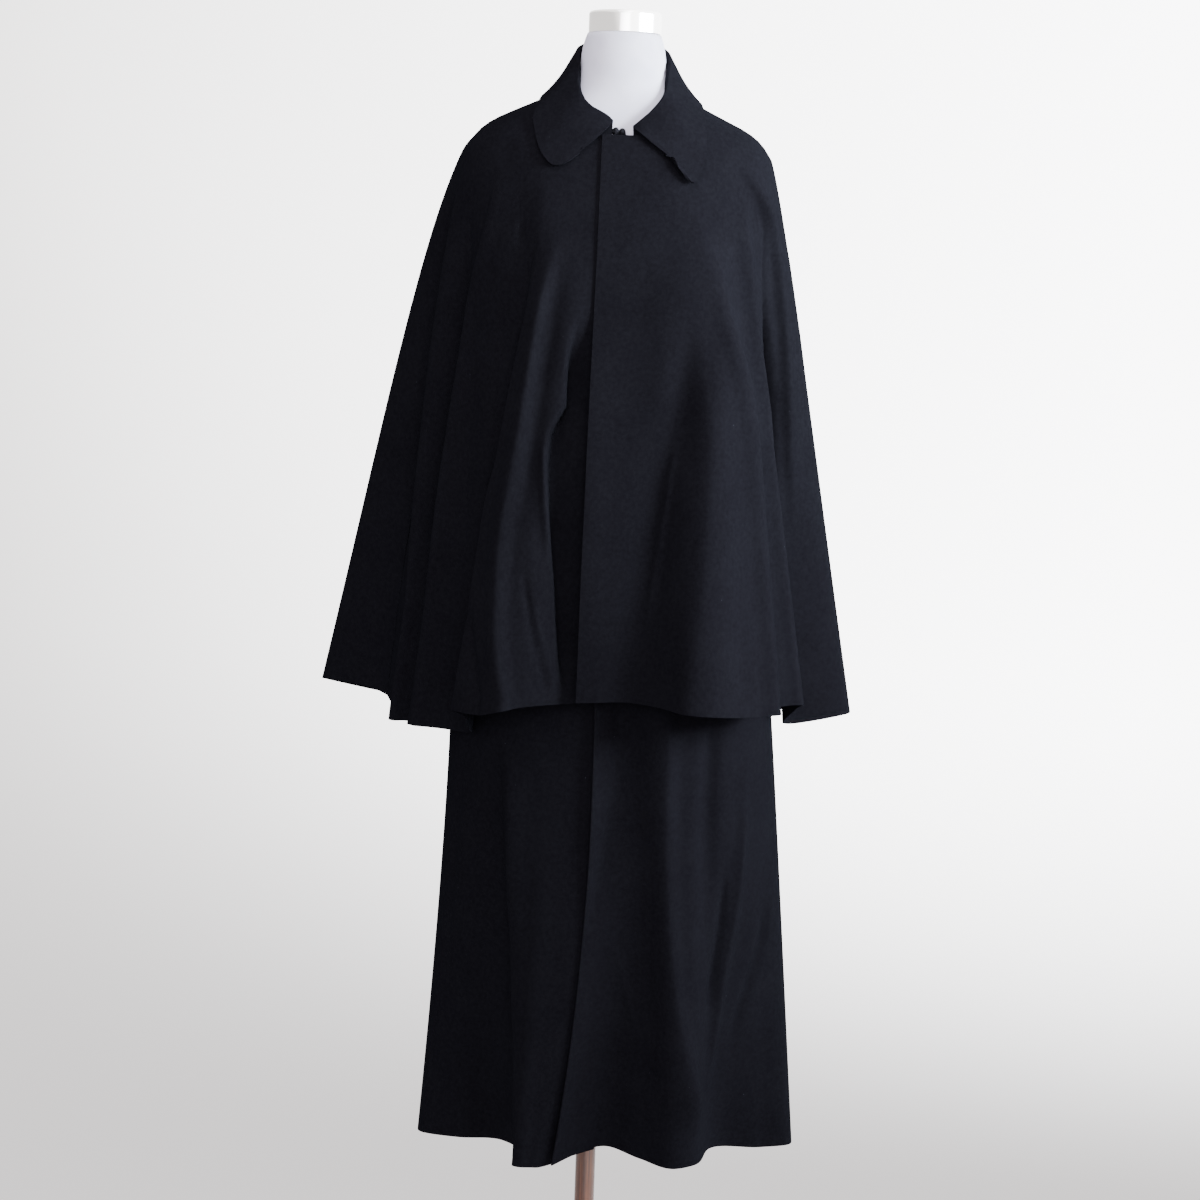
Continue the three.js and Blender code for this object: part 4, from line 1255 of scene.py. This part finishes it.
@dataclass
class Collar:
    """The turned-down collar: one folded sheet with its stand and its fall, and rounded points."""

    cape: CapeLayer
    cloth: float = 2.6
    seam_off: float = 1.3
    seam_lift: float = 1.5
    gap: float = 1.6
    step: float = 2.0
    fold_drop: float = 3.4
    fold_gap: float = 0.8
    stand_shares: tuple[float, ...] = (0, 0.5, 1)
    roll: tuple[tuple[float, float], ...] = ((0.15, 1), (0.5, 0), (0.85, 1))
    fall_shares: tuple[float, ...] = (0.22, 0.44, 0.66, 0.85, 1)
    settling: float = 3.0
    line_counts: tuple[int, ...] = (3, 3, 2, 2, 2, 2, 3, 5, 5, 5, 4)
    flat: tuple[float, float] = (0.5, 0.14)
    area: float = 0.055
    row: TableCurve = field(default_factory=lambda: TableCurve(COLLAR_ROWS, "fold_angle"))

    def guides(self, angle: Array) -> Array:
        """The profiles' guide points, from the neck seam over the fold to the outer edge.

        Args:
            angle: The fold line's angles.

        Returns:
            The points, as points[guide][profile].
        """
        form = self.cape.coat.form
        row = self.row(angle)
        stand_off = row["stand_off"]
        seam_z = form.neck_z(angle) + self.seam_lift
        fold_width = 2 * self.cloth + self.fold_gap
        top_z = row["fold_z"] - self.fold_drop
        seam_off = self.seam_off + row["on_front"] * (stand_off - self.seam_off)
        guides = []
        for share in self.stand_shares:
            z = seam_z + (top_z - seam_z) * share
            guides.append(form.draped(angle, z, seam_off + (stand_off - seam_off) * share))
        for share, drop in self.roll:
            guides.append(form.draped(angle, row["fold_z"] - drop, stand_off + share * fold_width))
        top = form.draped(angle, top_z, stand_off + fold_width)
        guides.append(top)
        edge_offset = self.cape.offset(row["edge_angle"], row["edge_z"]) + self.gap + self.cloth
        edge = form.draped(row["edge_angle"], row["edge_z"], edge_offset + row["lift"])
        for share in self.fall_shares:
            place = angle + (row["edge_angle"] - angle) * share
            z = top_z + (row["edge_z"] - top_z) * share
            start = stand_off + fold_width
            laid_off = start + (edge_offset - start) * min(share * self.settling, 1)
            least = self.cape.offset(place, z) + self.gap + self.cloth
            laid = form.draped(place, z, np.maximum(laid_off, least) + row["lift"] * share**2)
            guides.append(blend(laid, top + (edge - top) * share, row["bridge"]))
        return np.stack(guides)

    def build(self, wool: bpy.types.Material) -> bpy.types.Object:
        """Makes the collar and puts it in its node's place.

        Args:
            wool: The cloth's finish.

        Returns:
            The collar.
        """
        first, last = COLLAR_ROWS[0].fold_angle, COLLAR_ROWS[-1].fold_angle
        angle = np.linspace(first, last, round((last - first) / self.step) + 1)
        points = smooth_lines(self.guides(angle), self.line_counts)
        made = cloth_object("collar_cloth", points, self.cloth, wool)
        put_in_place(made, "collar")
        return made


def smooth_lines(guides: Array, parts: Sequence[int]) -> Array:
    """Puts smooth lines through guide points.

    Args:
        guides: The points, as guides[guide][column].
        parts: How many parts each step between two guides gets.

    Returns:
        The points, as points[line][column].
    """
    padded = np.concatenate([2 * guides[:1] - guides[1:2], guides, 2 * guides[-1:] - guides[-2:-1]])
    lines = []
    for i, count in enumerate(parts):
        a, b, c, d = padded[i : i + 4]
        square, cube = 2 * a - 5 * b + 4 * c - d, 3 * b - a - 3 * c + d
        for k in range(count):
            s = k / count
            lines.append(0.5 * (2 * b + (c - a) * s + square * s**2 + cube * s**3))
    return np.stack([*lines, guides[-1]])


@dataclass
class Torso:
    """The padded form's covered body, from its foot to its neck."""

    form: DressForm
    column_step: float = 3.0
    line_step: float = 6.0
    seam: float = 0.05

    def build(self, jersey: bpy.types.Material) -> bpy.types.Object:
        """Makes the body and puts it in its node's place.

        Args:
            jersey: The cover's finish.

        Returns:
            The body.
        """
        top, foot = FORM_SECTIONS[-1].z, FORM_SECTIONS[0].z
        angle = np.linspace(0, FULL_TURN, round(FULL_TURN / self.column_step) + 1)
        heights = np.linspace(top, foot, round((top - foot) / self.line_step) + 1)
        z, angle = np.meshgrid(heights, angle, indexing="ij")
        mesh = shaped_grid(self.form.point(angle, z))
        close_mesh(mesh, self.seam)
        made = mesh_object("form_torso_cover", mesh, jersey)
        put_in_place(made, "form_torso")
        return made


@dataclass
class Turning:
    """A piece turned about the pole's axis, from its (radius, z) profile."""

    name: str
    node: str
    slot: str
    profile: Profile
    steps: int = 96
    seam: float = 0.01

    def build(self, material: bpy.types.Material) -> bpy.types.Object:
        """Makes the piece and puts it in its node's place.

        Args:
            material: Its finish.

        Returns:
            The piece.
        """
        mesh = bmesh.new()
        corners = [mesh.verts.new((radius, 0, z)) for radius, z in self.profile]
        edges = [mesh.edges.new(pair) for pair in zip(corners, corners[1:])]
        bmesh.ops.spin(
            mesh,
            geom=corners + edges,
            cent=(0, 0, 0),
            axis=(0, 0, 1),
            angle=2 * math.pi,
            steps=self.steps,
            use_merge=True,
            use_duplicate=False,
        )
        close_mesh(mesh, self.seam)
        made = mesh_object(self.name, mesh, material)
        soften_edges(made, angle=40, width=0.5)
        put_in_place(made, self.node)
        return made


@dataclass
class Stand:
    """What carries the form: its metal neck cap, the turned pole and the round foot."""

    cap_radius: float = 43.0
    cap_foot_z: float = 1566.3
    cap_top_z: float = 1592.0
    cap_edge: float = 4.0
    pole_radius: float = 12.0
    pole_foot_z: float = 24.3
    pole_top_z: float = 821.7
    foot_radius: float = 170.0
    foot_top_z: float = 24.0
    foot_edge: float = 7.0
    rim_parts: int = 6

    def disc(self, radius: float, foot_z: float, top_z: float, edge: float) -> Profile:
        """The turning profile of a disc with a rounded upper rim, from its axis round to its axis."""
        rim = [
            (radius - edge + edge * math.cos(turn), top_z - edge + edge * math.sin(turn))
            for turn in (k * math.pi / (2 * self.rim_parts) for k in range(self.rim_parts + 1))
        ]
        return ((0, foot_z), (radius, foot_z), *rim, (0, top_z))

    def build(self, finishes: Finishes) -> list[bpy.types.Object]:
        """Makes the cap, the pole and the foot.

        Args:
            finishes: The object's materials.

        Returns:
            The pieces.
        """
        cap = self.disc(self.cap_radius, self.cap_foot_z, self.cap_top_z, self.cap_edge)
        foot = self.disc(self.foot_radius, 0, self.foot_top_z, self.foot_edge)
        pole = (
            (0, self.pole_foot_z),
            (self.pole_radius, self.pole_foot_z),
            (self.pole_radius, self.pole_top_z),
            (0, self.pole_top_z),
        )
        return [
            Turning("neck_cap_metal", "neck_cap", "neck_chrome", cap).build(finishes.chrome),
            Turning("pole_wood", "pole", "brown_wood", pole).build(finishes.wood),
            Turning("foot_wood", "foot", "brown_wood", foot).build(finishes.wood),
        ]


@dataclass
class NeckHook:
    """The small wire hook at the neck, bent from one length of wire and bound with thread in two places."""

    wire: float = 1.1
    wrap_length: float = 0.13
    flatness: float = 0.45
    sides: int = 16
    parts: int = 10
    seam: float = 0.01

    def build(self, material: bpy.types.Material) -> bpy.types.Object:
        """Makes the hook and puts it in its node's place.

        Args:
            material: Its finish.

        Returns:
            The hook.
        """
        guides = np.array(HOOK_PATH)[:, None, :]
        line = smooth_lines(guides, [self.parts] * (len(HOOK_PATH) - 1))[:, 0]
        along = unit(np.gradient(line, axis=0))
        up = unit(np.cross(along, np.array([0, 1.0, 0])))
        out = self.flatness * np.cross(up, along)
        turn = np.linspace(0, 2 * math.pi, self.sides + 1)
        ring = up[:, None] * np.cos(turn)[None, :, None] + out[:, None] * np.sin(turn)[None, :, None]
        share = np.linspace(0, 1, len(line))
        thickness = self.wire + sum(
            height * np.exp(-(((share - place) / self.wrap_length) ** 2)) for place, height in HOOK_WRAPS
        )
        mesh = shaped_grid(line[:, None] + thickness[:, None, None] * ring)
        close_mesh(mesh, self.seam)
        made = mesh_object("neck_hook_wire", mesh, material)
        put_in_place(made, "neck_hook")
        return made


class Lamp(NamedTuple):
    """A square soft lamp: side in metres, power in watts, sRGB hex colour, and spread in degrees."""

    name: str
    size: float
    power: float
    colour: str
    spread: float
    place: tuple[float, float, float]
    aim: tuple[float, float, float]


LAMPS = (
    Lamp("window", 1.1, 70, "e6f0ff", 120, (2.6, -0.2, 1.8), (0, 0, 1.4)),
    Lamp("window beam", 1.1, 30, "e6f0ff", 60, (2.3, -1.35, 1.9), (0, 0, 1.5)),
    Lamp("ceiling", 1.0, 14, "f6f2ff", 180, (0, -0.9, 2.7), (0, 0, 1.3)),
    Lamp("front", 1.5, 10, "f4f0fc", 80, (0, -2.8, 1.6), (0, 0, 1.35)),
)


@dataclass
class Studio:
    """The pale floor, the soft light and the camera."""

    floor_radius: float = 0.6
    floor_fade: float = 0.16
    floor_colour: str = "f2f1f1"
    # Painted shade: the backdrop is darker on its left and at its foot than on its lit right side.
    wall_left: str = "9c9a99"
    wall_right: str = "fdfdff"
    wall_foot: str = "686666"
    wall_light: float = 9.0
    wall_sweep: tuple[float, float] = (-0.2, 0.16)
    dusk_slope: float = 0.9
    dusk_reach: tuple[float, float] = (-0.4, -0.06)
    dusk_least: float = 0.2
    foot_reach: tuple[float, float] = (-0.26, -0.1)
    room_colour: str = "f2eefc"
    room_light: float = 0.8
    eye: tuple[float, float, float] = (-0.006, -4.0, 1.25)
    aim: tuple[float, float, float] = (-0.006, 0.0, 0.894)
    lean: float = 2.0
    frame_width: float = 1.44

    def floor(self) -> None:
        """Lays a round pale floor whose rim fades away."""
        mesh = bmesh.new()
        bmesh.ops.create_circle(mesh, cap_ends=True, segments=96, radius=self.floor_radius / MM)
        material, tree, shader, place = new_material("matt_pale_floor_paint")
        reach = add_node(tree, "ShaderNodeVectorMath", {0: place}, operation="LENGTH").outputs["Value"]
        rim = (self.floor_radius - self.floor_fade, self.floor_radius)
        whole = map_range(tree, reach, rim, (1.0, 0.0), "SMOOTHSTEP")
        set_inputs(shader, {"Base Color": linear(self.floor_colour), "Roughness": 0.95, "Alpha": whole})
        mesh_object("floor", mesh, material)

    def room(self) -> None:
        """Fills the room with even light, before a pale backdrop that the camera and mirrors see; painted
        shade darkens it to the left and below.
        """
        world = bpy.data.worlds.new("studio")
        world.use_nodes = True
        tree = world.node_tree
        backdrop = tree.nodes["Background"]
        way = add_node(tree, "ShaderNodeTexCoord").outputs["Generated"]
        parts = add_node(tree, "ShaderNodeSeparateXYZ", {"Vector": way}).outputs
        # Painted shade on the backdrop: darker to the left, and darker towards its foot, reaching higher on
        # the left.
        across = map_range(tree, parts["X"], self.wall_sweep)
        wall = ramp(tree, across, [(0.0, self.wall_left), (1.0, self.wall_right)])
        slope = weighted_sum(tree, parts["X"], self.dusk_slope, parts["Z"])
        dusk = map_range(tree, slope, self.dusk_reach, (self.dusk_least, 1.0), "SMOOTHSTEP")
        up = map_range(tree, parts["Z"], self.foot_reach, (0.0, dusk), "SMOOTHSTEP")
        shade = mixed(tree, up, linear(self.wall_foot), wall)
        set_inputs(backdrop, {"Color": shade, "Strength": self.wall_light})
        room = {"Color": linear(self.room_colour), "Strength": self.room_light}
        even = add_node(tree, "ShaderNodeBackground", room).outputs["Background"]
        ray = add_node(tree, "ShaderNodeLightPath").outputs
        rays = {0: ray["Is Camera Ray"], 1: ray["Is Glossy Ray"]}
        seen = add_node(tree, "ShaderNodeMath", rays, operation="MAXIMUM").outputs["Value"]
        sides = {"Fac": seen, 1: even, 2: backdrop.outputs["Background"]}
        both = add_node(tree, "ShaderNodeMixShader", sides).outputs["Shader"]
        set_inputs(tree.nodes["World Output"], {"Surface": both})
        bpy.context.scene.world = world

    def hang(self, lamp: Lamp) -> None:
        """Hangs one square soft lamp."""
        data = bpy.data.lights.new(lamp.name, "AREA")
        data.size = lamp.size
        data.energy = lamp.power
        data.color = linear(lamp.colour)[:3]
        data.spread = math.radians(lamp.spread)
        place, aim = Vector(lamp.place), Vector(lamp.aim)
        hung = bpy.data.objects.new(lamp.name, data)
        hung.location = place
        hung.rotation_euler = (aim - place).to_track_quat("-Z", "Y").to_euler()
        bpy.context.scene.collection.objects.link(hung)

    def camera(self) -> None:
        """Sets the camera at the photograph's angle, leaning as the photograph does."""
        data = bpy.data.cameras.new("camera")
        eye, aim = Vector(self.eye), Vector(self.aim)
        data.lens = data.sensor_width * (aim - eye).length / self.frame_width
        camera = bpy.data.objects.new("camera", data)
        turn = (aim - eye).to_track_quat("-Z", "Y").to_matrix().to_4x4()
        roll = Matrix.Rotation(math.radians(self.lean), 4, "Z")
        camera.matrix_world = Matrix.Translation(eye) @ turn @ roll
        bpy.context.scene.collection.objects.link(camera)
        bpy.context.scene.camera = camera

    def build(self) -> None:
        """Makes the floor, the light and the camera."""
        self.floor()
        self.room()
        for lamp in LAMPS:
            self.hang(lamp)
        self.camera()


def main() -> None:
    """Builds the coat, its form and its stand in order, and the studio round them."""
    logging.basicConfig(level=logging.INFO, format="%(name)s %(message)s")
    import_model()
    finishes = Finishes()
    form = DressForm()
    coat = CoatLayer(form)
    cape = CapeLayer(coat)
    Torso(form).build(finishes.jersey)
    Stand().build(finishes)
    Garment(coat, COAT_CUTS, COAT_CREASES, "form_torso").build(finishes.wool)
    Garment(cape, CAPE_CUTS, CAPE_CREASES, "coat_back", column_step=0.5).build(finishes.wool)
    Collar(cape).build(finishes.wool)
    NeckHook().build(finishes.wire)
    Studio().build()


if __name__ == "__main__":
    main()
